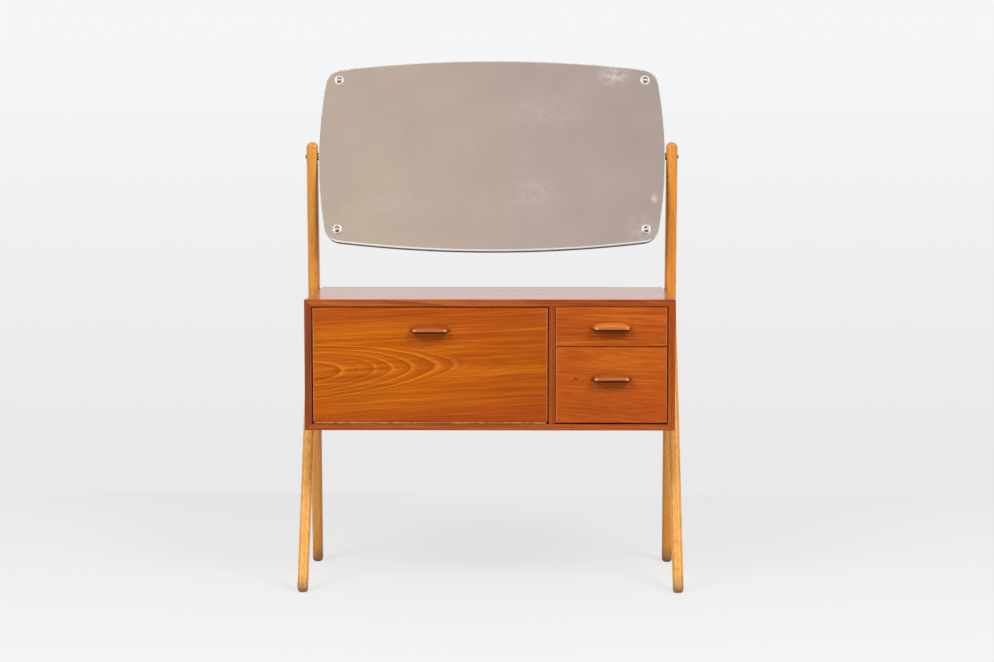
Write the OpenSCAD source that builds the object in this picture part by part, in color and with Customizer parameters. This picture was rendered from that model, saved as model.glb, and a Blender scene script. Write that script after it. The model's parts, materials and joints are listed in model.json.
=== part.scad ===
// Dressing table: a low case with a drop-front flap and two drawers, carried between two
// side frames whose long legs run up past the case and hold a tilting mirror.
// Millimetres. X runs to the right as seen from the front, Y to the back, Z up.
// The origin is on the floor, in the middle of the whole piece.
// Inside the modules y = 0 is the front plane of the case; in_frame() shifts that to the origin.

/* [Case] */
// Width of the case over its side panels
case_w = 820; // [760:1:900]
// Depth of the case, front edge to back edge
case_d = 425; // [410:1:460]
// Height of the case
case_h = 291; // [285:1:320]
// Height of the underside of the case above the floor
case_z = 380; // [360:1:400]
// Thickness of the top and side panels
panel_t = 16; // [14:0.5:20]
// Thickness of the bottom panel
bottom_t = 14; // [12:0.5:18]
// Radius that eases the long outer corners of the case
case_edge_r = 2.5; // [1:0.5:5]
// Left face of the divider, to the right of the middle of the case
divider_x = 130; // [110:1:150]
// Thickness of the divider
divider_t = 15; // [12:0.5:18]
// Thickness of the back panel
back_t = 6; // [4:0.5:8]
// Width of the rebate that the back panel sits in
rebate_w = 7; // [5:0.5:8]
// Thickness of the splines glued into the mitred corners
spline_t = 3; // [2:0.5:4]
// Width of the splines across the mitre
spline_w = 11; // [8:0.5:12]

/* [Flap] */
// Thickness of the flap
flap_t = 16; // [14:0.5:18]
// Gap beside the flap, left and right
flap_side_gap = 3; // [2:0.5:4]
// Gap above the flap
flap_top_gap = 3; // [2:0.5:4]
// Gap below the flap, which the hinge fills
hinge_gap = 5; // [4.8:0.1:6]
// How far the flap and the drawer fronts sit behind the edges of the case
front_recess = 1; // [0.5:0.1:2]

/* [Hinge and stay] */
// Diameter of the hinge knuckles
knuckle_d = 4.6; // [4.4:0.1:4.7]
// Diameter of the hinge pin
pin_d = 2; // [1.6:0.1:2.2]
// Thickness of the hinge leaves
leaf_t = 0.9; // [0.7:0.1:1]
// How far the leaves reach back from the pin
leaf_w = 13; // [11:0.5:13.5]
// Number of knuckles, shared by the two leaves
knuckle_count = 20; // [14:2:26]
// Number of screws in each hinge leaf
hinge_screw_count = 8; // [4:1:10]
// How far the stay's pivot on the flap lies behind the hinge pin
stay_pivot_out = 24; // [22:0.5:28]
// How far that pivot lies above the hinge pin
stay_pivot_up = 150; // [130:1:155]
// Angle above the horizontal, seen from the hinge pin, at which the stay's guide is fixed
stay_guide_angle = 45; // [40:1:50]
// Height of the bar that the stay is made of
stay_bar_h = 10; // [8:0.5:11]
// Thickness of that bar
stay_bar_t = 2.5; // [2:0.1:3]
// Length of the guide that the bar slides through
guide_l = 24; // [20:0.5:28]
// Angle through which the flap opens
flap_open = 90; // [80:1:90]

/* [Drawers] */
// Thickness of the drawer fronts
drawer_front_t = 16; // [14:0.5:18]
// Height of the upper drawer front
upper_front_h = 85; // [75:1:95]
// Gap above the upper drawer front
drawer_top_gap = 1.8; // [1.5:0.1:3]
// Gap between the two drawer fronts
drawer_between_gap = 3.2; // [2:0.1:4]
// Gap below the lower drawer front
drawer_bottom_gap = 4.2; // [3:0.1:5]
// Gap left of the drawer fronts
drawer_left_gap = 1.5; // [1:0.1:3]
// Gap right of the drawer fronts
drawer_right_gap = 3; // [1.5:0.1:4]
// Gap between the drawer boxes and the back panel
drawer_rear_gap = 32; // [26:1:80]
// Thickness of the drawer sides
drawer_side_t = 12; // [10:0.5:14]
// Thickness of the drawer backs
drawer_back_t = 10; // [8:0.5:12]
// Thickness of the drawer bottoms
drawer_bottom_t = 4; // [3:0.5:5]
// Width of the strips that the drawers run on
runner_w = 13; // [11:0.5:15]
// Height of the strips under the upper drawer
runner_h = 14; // [10:0.5:16]
// Length of the dovetails
tail_l = 10; // [8:0.5:12]
// Height taken by one dovetail and its gap
tail_pitch = 28; // [22:1:34]

/* [Handles] */
// Length of a handle where it meets the wood
handle_l = 92; // [80:1:100]
// Length of its front bar
handle_bar_l = 77; // [66:1:80]
// Height of a handle
handle_h = 21; // [18:0.5:24]
// How far a handle stands out
handle_out = 24; // [20:0.5:28]
// Radius of the finger hollow under it
finger_r = 9; // [7.5:0.5:9]
// Height of the flap's handle above the middle of the flap
flap_handle_up = 80; // [60:1:90]
// Height of the lower drawer's handle above the middle of its front
lower_handle_up = 16.5; // [0:0.5:40]
// Distance between the two screws of a handle
handle_screw_span = 50; // [40:1:56]

/* [Legs] */
// Space between the case and the legs, taken up by a washer on each leg screw
leg_gap = 2.5; // [1:0.5:4]
// Thickness of the long legs, side to side
long_leg_t = 26; // [26:0.5:32]
// Thickness of the front legs, side to side
front_leg_t = 26; // [24:0.5:26]
// Width of a long leg where the front leg joins it, front to back
long_leg_w = 42; // [38:0.5:48]
// Width of a long leg at its top, front to back
long_leg_top_w = 30; // [28:0.5:34]
// Width of a front leg at its upper end
front_leg_w = 36; // [30:0.5:38]
// Width of every leg at its foot, both ways
foot_w = 26; // [24:0.5:26]
// Radius of the long edges of the legs
leg_edge_r = 9; // [7:0.5:10]
// How far behind the back of the case the long legs' middle lines meet the floor
rear_foot_out = 5; // [0:0.5:12]
// How far behind the front of the case the front legs' middle lines meet the floor
front_foot_y = 67; // [60:1:100]
// Height at which the middle lines of the two legs meet
join_z = 649; // [630:1:660]
// Radius of the dowels between front and long legs
leg_dowel_r = 4; // [3:0.5:5]
// Length of those dowels
leg_dowel_l = 40; // [36:1:44]

/* [Mirror] */
// Gap between the glass and the long legs, on each side
mirror_gap = 3.5; // [2:0.5:12]
// Height of the glass
mirror_h = 460; // [420:1:500]
// Radius of the curved left and right edges of the glass
mirror_side_r = 1046; // [900:1:1400]
// Radius of the curved upper and lower edges of the glass
mirror_top_r = 3035; // [2400:1:4000]
// Radius of its corners
mirror_corner_r = 40; // [30:1:50]
// Thickness of the glass
glass_t = 5; // [4:0.5:6]
// Thickness of the backing board
board_t = 18; // [16:0.5:22]
// How far the backing board's edge sits inside the edge of the glass
board_inset = 2; // [1:0.5:4]
// How far the mirror leans back
mirror_tilt = 13; // [0:0.5:20]
// Height of the mirror's pivots above the floor
pivot_z = 984; // [960:1:1020]
// How far the pivots are in front of the back of the case
pivot_in = 60; // [45:1:75]
// How far the long legs reach above the pivots
above_pivot = 34; // [28:1:44]
// Distance of the mirror screws from the widest line of the glass
screw_from_side = 46; // [42:1:70]
// Distance of the upper mirror screws below the highest line of the glass
screw_from_top = 48; // [44:1:70]
// Distance of the lower mirror screws above the lowest line of the glass
screw_from_bottom = 52; // [44:1:70]
// Diameter of the cup washers
washer_d = 24; // [20:0.5:26]
// Diameter of the heads of the mirror screws
mirror_head_d = 13.5; // [12:0.5:14]
// Diameter of the brass spacers beside the mirror
spacer_d = 17; // [12:0.5:17]
// Diameter of the heads of the pivot screws
pivot_head_d = 10.5; // [9:0.5:12]

/* [Fits] */
// Clearance round a pin or shank that turns, on the radius
running_fit = 0.05; // [0.02:0.01:0.1]
// Clearance round a glued or screwed piece in its hole, on the radius
fixed_fit = 0.05; // [0.02:0.01:0.1]
// Clearance between pieces that slide past each other
slide_gap = 0.3; // [0.2:0.05:0.5]

/* [Hidden] */

// Case, worked out
half_w = case_w / 2;
case_top = case_z + case_h;
inner_x = half_w - panel_t;
inner_top = case_top - panel_t;
inner_bottom = case_z + bottom_t;
back_y = case_d - back_t;

// Flap and hinge, worked out
flap_x0 = -inner_x + flap_side_gap;
flap_x1 = divider_x - flap_side_gap;
flap_mid_x = (flap_x0 + flap_x1) / 2;
flap_z0 = inner_bottom + hinge_gap;
flap_z1 = inner_top - flap_top_gap;
flap_inner_y = front_recess + flap_t;
knuckle_r = knuckle_d / 2;
knuckle_gap = slide_gap;
hinge_y = knuckle_r;
hinge_z = inner_bottom + hinge_gap / 2;
hinge_end_gap = 2;
hinge_x0 = flap_x0 + hinge_end_gap;
hinge_x1 = flap_x1 - hinge_end_gap;
knuckle_l = (hinge_x1 - hinge_x0) / knuckle_count;
hinge_screw_y = hinge_y + 0.6 * leaf_w;

// Stay, worked out. Its two pivots lie at one radius from the hinge pin, so the bar
// turns through half the flap's angle while it slides through the guide.
stay_r = norm([stay_pivot_out, stay_pivot_up]);
stay_pivot = [hinge_y + stay_pivot_out, hinge_z + stay_pivot_up];
guide_pivot = [hinge_y + stay_r * cos(stay_guide_angle), hinge_z + stay_r * sin(stay_guide_angle)];
stay_bar_angle = atan2(guide_pivot[1] - stay_pivot[1], guide_pivot[0] - stay_pivot[0]);
stay_spread = atan2(stay_pivot_up, stay_pivot_out) - stay_guide_angle + flap_open;
stay_reach_open = 2 * stay_r * sin(stay_spread / 2);
stay_stop_r = 2.5;
stay_stop_l = 7;
stay_stop_at = stay_reach_open + guide_l / 2 + stay_stop_r + slide_gap;
stay_plate_t = 2;
stay_plate_l = 46;
stay_plate_h = 22;
stay_screw_at = 16;
guide_t = 8;
guide_h = stay_bar_h + 8;
guide_x0 = -inner_x + stay_plate_t + slide_gap;
stay_x0 = guide_x0 + (guide_t - stay_bar_t) / 2;
stay_x1 = stay_x0 + stay_bar_t;
guide_stud_r = 4;
guide_head_r = 6.5;
guide_head_t = 1.4;
rivet_r = 2;
rivet_head_r = 3.8;
rivet_head_t = 1.2;
bracket_t = 2;
bracket_x0 = stay_x1 + slide_gap;
bracket_w = 24;
bracket_h = 32;
bracket_eye_r = 6;

// Catch, worked out
catch_w = 40;
catch_h = 13;
catch_l = 20;
catch_magnet_w = 24;
catch_magnet_h = 8;
catch_magnet_l = 9;
catch_magnet_out = 0.6;
catch_magnet_fit = 0.1;
catch_gap = 0.2;
catch_plate_t = 1.2;
catch_plate_w = 34;
catch_plate_h = 14;
catch_y = flap_inner_y + catch_plate_t + catch_gap;
catch_z = inner_top - catch_h;
catch_mid_z = catch_z + catch_h / 2;
catch_screw_at = 16;
catch_plate_z0 = catch_mid_z - catch_plate_h / 2;
catch_plate_z1 = flap_z1 - 1;

// Drawers, worked out
drawer_x0 = divider_x + divider_t + drawer_left_gap;
drawer_x1 = inner_x - drawer_right_gap;
drawer_mid_x = (drawer_x0 + drawer_x1) / 2;
drawer_y0 = front_recess;
drawer_y1 = front_recess + drawer_front_t;
drawer_end = back_y - drawer_rear_gap;
upper_z1 = inner_top - drawer_top_gap;
upper_z0 = upper_z1 - upper_front_h;
lower_z1 = upper_z0 - drawer_between_gap;
lower_z0 = inner_bottom + drawer_bottom_gap;
runner_y0 = drawer_y1 + 3;
runner_y1 = drawer_end - 4;
runner_z1 = upper_z0 - slide_gap;
runner_z0 = runner_z1 - runner_h;
upper_side_top = upper_z1 - 1;
lower_side_top = runner_z0 - 1.2;
groove_deep = 5;
groove_up = 8;
groove_fit = 0.1;
back_dado = 4;
back_inset = 8;
back_drop = 6;

// Handles, worked out
flap_handle_z = (flap_z0 + flap_z1) / 2 + flap_handle_up;
upper_handle_z = (upper_z0 + upper_z1) / 2;
lower_handle_z = (lower_z0 + lower_z1) / 2 + lower_handle_up;
handle_foot_h = handle_h - 4;
handle_bar_r = 8;
handle_foot_t = 4;
handle_undercut = 1;
handle_bar_x = handle_bar_l / 2 - handle_bar_r;
handle_bar_z = handle_h / 2 - handle_bar_r;
handle_screw_up = 0.15 * handle_h;
handle_bite = 9;
finger_end = 16.5;
finger_l = handle_bar_l - 2 * finger_end;

// Legs, worked out. Each leg is drawn upright on its foot and then leans.
leg_x = half_w + leg_gap;
rear_foot_y = case_d + rear_foot_out;
pivot_y = case_d - pivot_in;
long_lean = atan2(rear_foot_y - pivot_y, pivot_z);
join_y = rear_foot_y - join_z * tan(long_lean);
front_lean = atan2(join_y - front_foot_y, join_z);
long_leg_l = pivot_z / cos(long_lean);
front_leg_l = join_z / cos(front_lean);
leg_fn = 24;
foot_sink = 2;
foot_edge_r = 10;
dowel_drop = 45;
dowel_spacing = 20;
dowel_z = [join_z - dowel_drop - dowel_spacing, join_z - dowel_drop];
leg_screw_inset = 48;
front_screw_inset = 28;
front_screw_spacing = 112;
leg_screw_z = [case_z + leg_screw_inset, case_top - leg_screw_inset];
front_screw_z = [case_z + front_screw_inset, case_z + front_screw_inset + front_screw_spacing];
leg_screw_into = 19;

// Mirror, worked out
mirror_a = leg_x - mirror_gap;
mirror_b = mirror_h / 2;
glass_front = -board_t / 2 - glass_t;
glass_back = -board_t / 2;
board_half = mirror_a - board_inset;
screw_hole_r = 4;
mirror_shank_r = 2.4;
mirror_screw_into = 14;
washer_h = 3.2;
bush_r = 5;
pivot_shank_r = 3;
insert_l = 18;
pivot_head_h = 3;

// Where the middle of the whole piece lies, front to back
front_most = front_recess - handle_out;
rear_foot_back = rear_foot_y + (foot_w / 2 - foot_edge_r) * cos(long_lean)
    - (foot_edge_r - foot_sink) * sin(long_lean) + foot_edge_r;
mirror_back = pivot_y + board_t / 2 * cos(mirror_tilt) + (mirror_b - board_inset) * sin(mirror_tilt);
rear_most = max(rear_foot_back, mirror_back);
frame_mid_y = (front_most + rear_most) / 2;

teak = "#b8621f";
teak_edge = "#a9561f";
beech = "#e0a04c";
drawer_wood = "#d9b98a";
brass = "#b98d3e";
steel = "#b9bcc0";
dark_board = "#3b2a1e";

fine = 48;

function arc(cx, cy, r, a0, a1, n) =
    [for (i = [0:n]) [cx + r * cos(a0 + (a1 - a0) * i / n), cy + r * sin(a0 + (a1 - a0) * i / n)]];

function flipped(p, sx, sz) = [for (q = p) [sx * q[0], sz * q[1]]];

module in_frame() translate([0, -frame_mid_y, 0]) children();

// A flat outline in X and Z, extended from y0 to y1
module along_y(y0, y1) translate([0, y1, 0]) rotate([90, 0, 0]) linear_extrude(y1 - y0) children();

// A flat outline in Y and Z, extended from x0 to x1
module along_x(x0, x1) translate([x0, 0, 0]) rotate([90, 0, 90]) linear_extrude(x1 - x0) children();

// The same thing on the right and, mirrored, on the left
module both_sides() {
    children();
    mirror([1, 0, 0]) children();
}

module block(x0, x1, y0, y1, z0, z1) translate([x0, y0, z0]) cube([x1 - x0, y1 - y0, z1 - z0]);

// A rod along X, centred on a point in Y and Z
module rod_x(r, x0, x1, y, z) translate([x0, y, z]) rotate([0, 90, 0]) cylinder(r=r, h=x1 - x0, $fn=fine);

// Turns something that points up so that it points along one of the axes
module face_left() rotate([0, -90, 0]) children();
module face_right() rotate([0, 90, 0]) children();
module face_front() rotate([90, 0, 0]) children();
module face_back() rotate([-90, 0, 0]) children();
module face_down() rotate([180, 0, 0]) children();

// Countersunk wood screw: its head is flush with z = 0 and its shank goes down
module wood_screw(r, l, head_r, grow=0) {
    head_h = head_r - r;
    difference() {
        union() {
            translate([0, 0, -l]) cylinder(r=r + grow, h=l, $fn=fine);
            translate([0, 0, -head_h]) cylinder(r1=r + grow, r2=head_r + grow, h=head_h, $fn=fine);
        }
        if (grow == 0) translate([-head_r, -0.08 * head_r, -0.3 * head_r])
            cube([2 * head_r, 0.16 * head_r, head_r]);
    }
}

// The hole that such a screw needs
module screw_hole(r, l, head_r) wood_screw(r, l + 0.5, head_r, fixed_fit);

// Corner points of the case: the middle of an eased outer corner, and the inner corner
ease_in = case_edge_r * (1 - cos(45));
function mitre_mid(s, z_out, z_in) =
    [s * (half_w - ease_in + inner_x) / 2, (z_out + z_in) / 2];
top_mitre = mitre_mid(1, case_top - ease_in, inner_top);
bottom_mitre = mitre_mid(1, case_z + ease_in, inner_bottom);
top_mitre_angle = atan2(case_top - ease_in - inner_top, half_w - ease_in - inner_x);
bottom_mitre_angle = atan2(case_z + ease_in - inner_bottom, half_w - ease_in - inner_x);

module spline_at(s, mid, angle, grow)
    translate([s * mid[0], mid[1]])
        rotate(s * (angle + 90))
            square([spline_w + 2 * grow, spline_t + 2 * grow], center=true);

// The splines' outlines in X and Z
module spline_outlines(grow=0) for (s = [-1, 1]) {
    spline_at(s, top_mitre, top_mitre_angle, grow);
    spline_at(s, bottom_mitre, bottom_mitre_angle, grow);
}

spline_y0 = 8;
spline_y1 = back_y - 6;
module spline_grooves() along_y(spline_y0 - 1, spline_y1 + 1) spline_outlines(fixed_fit);

module back_rebate() block(-inner_x - rebate_w, inner_x + rebate_w, back_y, case_d + 1,
    inner_bottom - rebate_w, inner_top + rebate_w);

divider_dowel_inset = 62;
divider_dowel_y = [divider_dowel_inset, case_d / 2, case_d - divider_dowel_inset];
divider_dowel_r = 4;
dowel_in_panel = 9;
dowel_in_divider = 14;
dowel_end_gap = 0.5;
module divider_dowels_at(grow, end_gap)
    for (y = divider_dowel_y, z = [inner_top - dowel_in_divider, inner_bottom - dowel_in_panel])
        translate([divider_x + divider_t / 2, y, z + end_gap])
            cylinder(r=divider_dowel_r + grow, h=dowel_in_divider + dowel_in_panel - 2 * end_gap, $fn=fine);

back_screw_r = 1.5;
back_screw_l = 16;
back_screw_head_r = 3;
module back_screws_at() {
    edge_x = inner_x + rebate_w / 2;
    edge_top = inner_top + rebate_w / 2;
    edge_bottom = inner_bottom - rebate_w / 2;
    for (x = [-0.85, -0.28, 0.28, 0.85] * inner_x, z = [edge_bottom, edge_top])
        translate([x, case_d, z]) face_back() children();
    for (s = [-1, 1], z = [0.25, 0.75])
        translate([s * edge_x, case_d, inner_bottom + z * (inner_top - inner_bottom)]) face_back() children();
}
module back_screw_holes() back_screws_at() screw_hole(back_screw_r, back_screw_l, back_screw_head_r);

leg_screw_r = 2.5;
leg_screw_head_r = 5;
leg_screw_l = panel_t + leg_gap + leg_screw_into;
leg_washer_r = 8;
function long_y(z) = rear_foot_y - z * tan(long_lean);
function front_y(z) = front_foot_y + z * tan(front_lean);
leg_screw_places = concat([for (z = leg_screw_z) [long_y(z), z]], [for (z = front_screw_z) [front_y(z), z]]);
module leg_screws_at(sides=[-1, 1]) for (s = sides, p = leg_screw_places)
    translate([s * inner_x, p[0], p[1]]) rotate([0, -90 * s, 0]) children();
module leg_screw_holes(s) leg_screws_at([s])
    screw_hole(leg_screw_r, leg_screw_l, leg_screw_head_r);

runner_screw_r = 1.75;
runner_screw_l = runner_w + 9;
runner_screw_head_r = 3.5;
runner_screw_inset = 40;
runner_screw_y = [runner_y0 + runner_screw_inset, (runner_y0 + runner_y1) / 2, runner_y1 - runner_screw_inset];
module runner_screws_at() for (y = runner_screw_y) {
    translate([divider_x + divider_t + runner_w, y, runner_z0 + runner_h / 2]) face_right() children();
    translate([inner_x - runner_w, y, runner_z0 + runner_h / 2]) face_left() children();
}
module runner_screw_holes() runner_screws_at()
    screw_hole(runner_screw_r, runner_screw_l, runner_screw_head_r);

hinge_screw_r = 1.4;
hinge_screw_l = 10;
hinge_screw_head_r = 2.6;
function hinge_screw_x(i) = hinge_x0 + (hinge_x1 - hinge_x0) * (i + 0.5) / hinge_screw_count;
module hinge_case_screws_at() for (i = [0:hinge_screw_count - 1])
    translate([hinge_screw_x(i), hinge_screw_y, inner_bottom + leaf_t]) children();
module hinge_flap_screws_at() for (i = [0:hinge_screw_count - 1])
    translate([hinge_screw_x(i), hinge_screw_y, flap_z0 - leaf_t]) face_down() children();
module hinge_screw_hole() screw_hole(hinge_screw_r, hinge_screw_l, hinge_screw_head_r);

fitting_screw_r = 1.75;
fitting_screw_l = 13;
fitting_screw_head_r = 3.3;
catch_screw_r = 1.6;
catch_screw_head_r = 3;
catch_screw_l = catch_h + 9;
module fitting_screw_hole() screw_hole(fitting_screw_r, fitting_screw_l, fitting_screw_head_r);
module stay_plate_screws_at() for (s = [-1, 1])
    translate([-inner_x + stay_plate_t, guide_pivot[0] + s * stay_screw_at, guide_pivot[1]])
        face_right() children();
module catch_screws_at() for (s = [-1, 1])
    translate([flap_mid_x + s * catch_screw_at, catch_y + 0.6 * catch_l, catch_z]) face_down() children();
module bracket_screws_at() for (s = [-1, 1])
    translate([bracket_x0 + 0.62 * bracket_w, flap_inner_y + bracket_t, stay_pivot[1] + 0.3 * s * bracket_h])
        face_back() children();
module catch_plate_screws_at() for (s = [-1, 1])
    translate([flap_mid_x + 0.35 * s * catch_plate_w, flap_inner_y + catch_plate_t,
        (catch_plate_z0 + catch_plate_z1) / 2]) face_back() children();
module catch_screw_hole() screw_hole(catch_screw_r, catch_screw_l, catch_screw_head_r);

module top_panel() in_frame() color(teak) difference() {
    along_y(0, case_d) polygon(concat(
        [[inner_x, inner_top]],
        arc(half_w - case_edge_r, case_top - case_edge_r, case_edge_r, 45, 90, 4),
        arc(-half_w + case_edge_r, case_top - case_edge_r, case_edge_r, 90, 135, 4),
        [[-inner_x, inner_top]]));
    back_rebate();
    spline_grooves();
    divider_dowels_at(fixed_fit, 0);
    back_screw_holes();
    catch_screws_at() catch_screw_hole();
}

module bottom_panel() in_frame() color(teak) difference() {
    along_y(0, case_d) polygon(concat(
        [[-inner_x, inner_bottom]],
        arc(-half_w + case_edge_r, case_z + case_edge_r, case_edge_r, 225, 270, 4),
        arc(half_w - case_edge_r, case_z + case_edge_r, case_edge_r, 270, 315, 4),
        [[inner_x, inner_bottom]]));
    back_rebate();
    spline_grooves();
    divider_dowels_at(fixed_fit, 0);
    back_screw_holes();
    hinge_case_screws_at() hinge_screw_hole();
}

// A side panel stands between the mitres; s is -1 on the left and 1 on the right
module side_panel(s) difference() {
    along_y(0, case_d) polygon(flipped(concat(
        [[inner_x, inner_bottom]],
        arc(half_w - case_edge_r, case_z + case_edge_r, case_edge_r, -45, 0, 4),
        arc(half_w - case_edge_r, case_top - case_edge_r, case_edge_r, 0, 45, 4),
        [[inner_x, inner_top]]), s, 1));
    back_rebate();
    spline_grooves();
    back_screw_holes();
    leg_screw_holes(s);
}

module left_side_panel() in_frame() color(teak) difference() {
    side_panel(-1);
    stay_plate_screws_at() fitting_screw_hole();
    rod_x(guide_head_r + 1, -inner_x - guide_head_t - 0.6, -inner_x + 1, guide_pivot[0], guide_pivot[1]);
}

module right_side_panel() in_frame() color(teak) difference() {
    side_panel(1);
    runner_screw_holes();
}

module divider_panel() in_frame() color(teak) difference() {
    block(divider_x, divider_x + divider_t, 0, back_y, inner_bottom, inner_top);
    divider_dowels_at(fixed_fit, 0);
    runner_screw_holes();
}

module back_panel() in_frame() color(drawer_wood) difference() {
    block(-inner_x - rebate_w + 0.5, inner_x + rebate_w - 0.5, back_y, case_d,
        inner_bottom - rebate_w + 0.5, inner_top + rebate_w - 0.5);
    back_screw_holes();
}

module corner_splines() in_frame() color(drawer_wood) along_y(spline_y0, spline_y1) spline_outlines();

module divider_dowels() in_frame() color(drawer_wood) divider_dowels_at(0, dowel_end_gap);

module back_panel_screws() in_frame() color(steel)
    back_screws_at() wood_screw(back_screw_r, back_screw_l, back_screw_head_r);

// Four rounded corner edges at one height of a leg, for the hull
module leg_station(z, wx, wy, r) for (sx = [-1, 1], sy = [-1, 1])
    translate([sx * (wx / 2 - r), sy * (wy / 2 - r), z]) sphere(r=r, $fn=leg_fn);

module leg_dome(z, wx, wy) for (e = [[0, 12], [2.5, 5], [6, 0]])
    translate([0, (wy - e[1]) / 2, z]) rotate([90, 0, 0]) cylinder(r=wx / 2 - e[0], h=wy - e[1], $fn=leg_fn);

module stand(s, thick, foot_y, lean) intersection() {
    translate([s * (leg_x + thick / 2), foot_y, 0]) rotate([lean, 0, 0]) children();
    translate([-case_w, -case_d, 0]) cube([2 * case_w, 3 * case_d, 2 * pivot_z]);
}

module long_leg_shape(s) stand(s, long_leg_t, rear_foot_y, long_lean) hull() {
    leg_station(foot_edge_r - foot_sink, foot_w, foot_w, foot_edge_r);
    leg_station(join_z / cos(long_lean), long_leg_t, long_leg_w, leg_edge_r);
    leg_dome(long_leg_l + above_pivot - long_leg_t / 2, long_leg_t, long_leg_top_w);
}

module front_leg_shape(s) stand(s, front_leg_t, front_foot_y, -front_lean) hull() {
    leg_station(foot_edge_r - foot_sink, foot_w, foot_w, foot_edge_r);
    leg_station(front_leg_l, front_leg_t, front_leg_w, leg_edge_r);
}

// The face at which a front leg meets the front of its long leg, and its dowels
function butt_y(z) = long_y(z) - long_leg_w / 2 / cos(long_lean);
module leg_dowels_at(sides, r, l) for (s = sides, z = dowel_z)
    translate([s * (leg_x + front_leg_t / 2), butt_y(z) - l / 2, z])
        face_back() cylinder(r=r, h=l, $fn=fine);
module leg_dowel_holes(s) leg_dowels_at([s], leg_dowel_r + fixed_fit, leg_dowel_l + 1);

module long_leg(s) difference() {
    long_leg_shape(s);
    leg_dowel_holes(s);
    leg_screw_holes(s);
    translate([s * (leg_x + long_leg_t / 2), 0, 0])
        rod_x(bush_r + fixed_fit, -long_leg_t, long_leg_t, pivot_y, pivot_z);
}

module front_leg(s) difference() {
    front_leg_shape(s);
    long_leg_shape(s);
    leg_dowel_holes(s);
    leg_screw_holes(s);
}

module left_long_leg() in_frame() color(beech) long_leg(-1);
module right_long_leg() in_frame() color(beech) long_leg(1);
module left_front_leg() in_frame() color(beech) front_leg(-1);
module right_front_leg() in_frame() color(beech) front_leg(1);

module leg_dowels() in_frame() color(drawer_wood) leg_dowels_at([-1, 1], leg_dowel_r, leg_dowel_l);

module leg_screws() in_frame() color(steel)
    leg_screws_at() wood_screw(leg_screw_r, leg_screw_l, leg_screw_head_r);

module leg_washers() in_frame() color(brass) both_sides() for (p = leg_screw_places) difference() {
    rod_x(leg_washer_r, half_w, leg_x, p[0], p[1]);
    rod_x(leg_screw_r + running_fit, half_w - 1, leg_x + 1, p[0], p[1]);
}

bush_end_gap = 0.2;
module pivot_bushes() in_frame() color(brass) both_sides() difference() {
    rod_x(bush_r, leg_x + bush_end_gap, leg_x + long_leg_t - bush_end_gap, pivot_y, pivot_z);
    rod_x(pivot_shank_r + running_fit, leg_x - 1, leg_x + long_leg_t + 1, pivot_y, pivot_z);
}

module upper_runners() in_frame() color(beech) difference() {
    for (x = [divider_x + divider_t, inner_x - runner_w])
        block(x, x + runner_w, runner_y0, runner_y1, runner_z0, runner_z1);
    runner_screw_holes();
}

module lower_runners() in_frame() color(beech) for (x = [drawer_x0, drawer_x1 - runner_w])
    block(x, x + runner_w, runner_y0, runner_y1, inner_bottom, lower_z0 - slide_gap);

module runner_screws() in_frame() color(steel)
    runner_screws_at() wood_screw(runner_screw_r, runner_screw_l, runner_screw_head_r);

// Every second knuckle of the hinge, starting with the first or the second
function knuckle_x0(i) = hinge_x0 + i * knuckle_l + knuckle_gap / 2;
function knuckle_x1(i) = hinge_x0 + (i + 1) * knuckle_l - knuckle_gap / 2;
module knuckles(first, r) for (i = [first:2:knuckle_count - 1])
    rod_x(r, knuckle_x0(i), knuckle_x1(i), hinge_y, hinge_z);

// A leaf with its knuckles: a strip behind the pin and a tab out to each knuckle
module leaf(first, z0) difference() {
    union() {
        block(hinge_x0, hinge_x1, hinge_y + knuckle_r + knuckle_gap, hinge_y + leaf_w, z0, z0 + leaf_t);
        for (i = [first:2:knuckle_count - 1])
            block(knuckle_x0(i), knuckle_x1(i), hinge_y, hinge_y + leaf_w, z0, z0 + leaf_t);
        knuckles(first, knuckle_r);
    }
    rod_x(pin_d / 2 + running_fit, hinge_x0 - 1, hinge_x1 + 1, hinge_y, hinge_z);
}

module hinge_case_leaf() in_frame() color(brass) difference() {
    leaf(0, inner_bottom);
    hinge_case_screws_at() hinge_screw_hole();
}

module hinge_flap_leaf() in_frame() color(brass) difference() {
    leaf(1, flap_z0 - leaf_t);
    hinge_flap_screws_at() hinge_screw_hole();
}

module hinge_pin() in_frame() color(brass) rod_x(pin_d / 2, hinge_x0, hinge_x1, hinge_y, hinge_z);

module hinge_case_screws() in_frame() color(brass)
    hinge_case_screws_at() wood_screw(hinge_screw_r, hinge_screw_l, hinge_screw_head_r);

module hinge_flap_screws() in_frame() color(brass)
    hinge_flap_screws_at() wood_screw(hinge_screw_r, hinge_screw_l, hinge_screw_head_r);

module magnet_block(grow) {
    half_magnet_w = catch_magnet_w / 2 + grow;
    half_magnet_h = catch_magnet_h / 2 + grow;
    block(flap_mid_x - half_magnet_w, flap_mid_x + half_magnet_w, catch_y, catch_y + catch_magnet_l + grow,
        catch_mid_z - half_magnet_h, catch_mid_z + half_magnet_h);
}

module catch_housing() in_frame() color("#5a3b22") difference() {
    block(flap_mid_x - catch_w / 2, flap_mid_x + catch_w / 2,
        catch_y + catch_magnet_out, catch_y + catch_l, catch_z, inner_top);
    magnet_block(catch_magnet_fit);
    catch_screws_at() catch_screw_hole();
}

module catch_magnet() in_frame() color(steel) magnet_block(0);

module case_fitting_screws() in_frame() color(steel) {
    stay_plate_screws_at() wood_screw(fitting_screw_r, fitting_screw_l, fitting_screw_head_r);
    catch_screws_at() wood_screw(catch_screw_r, catch_screw_l, catch_screw_head_r);
}

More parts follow.
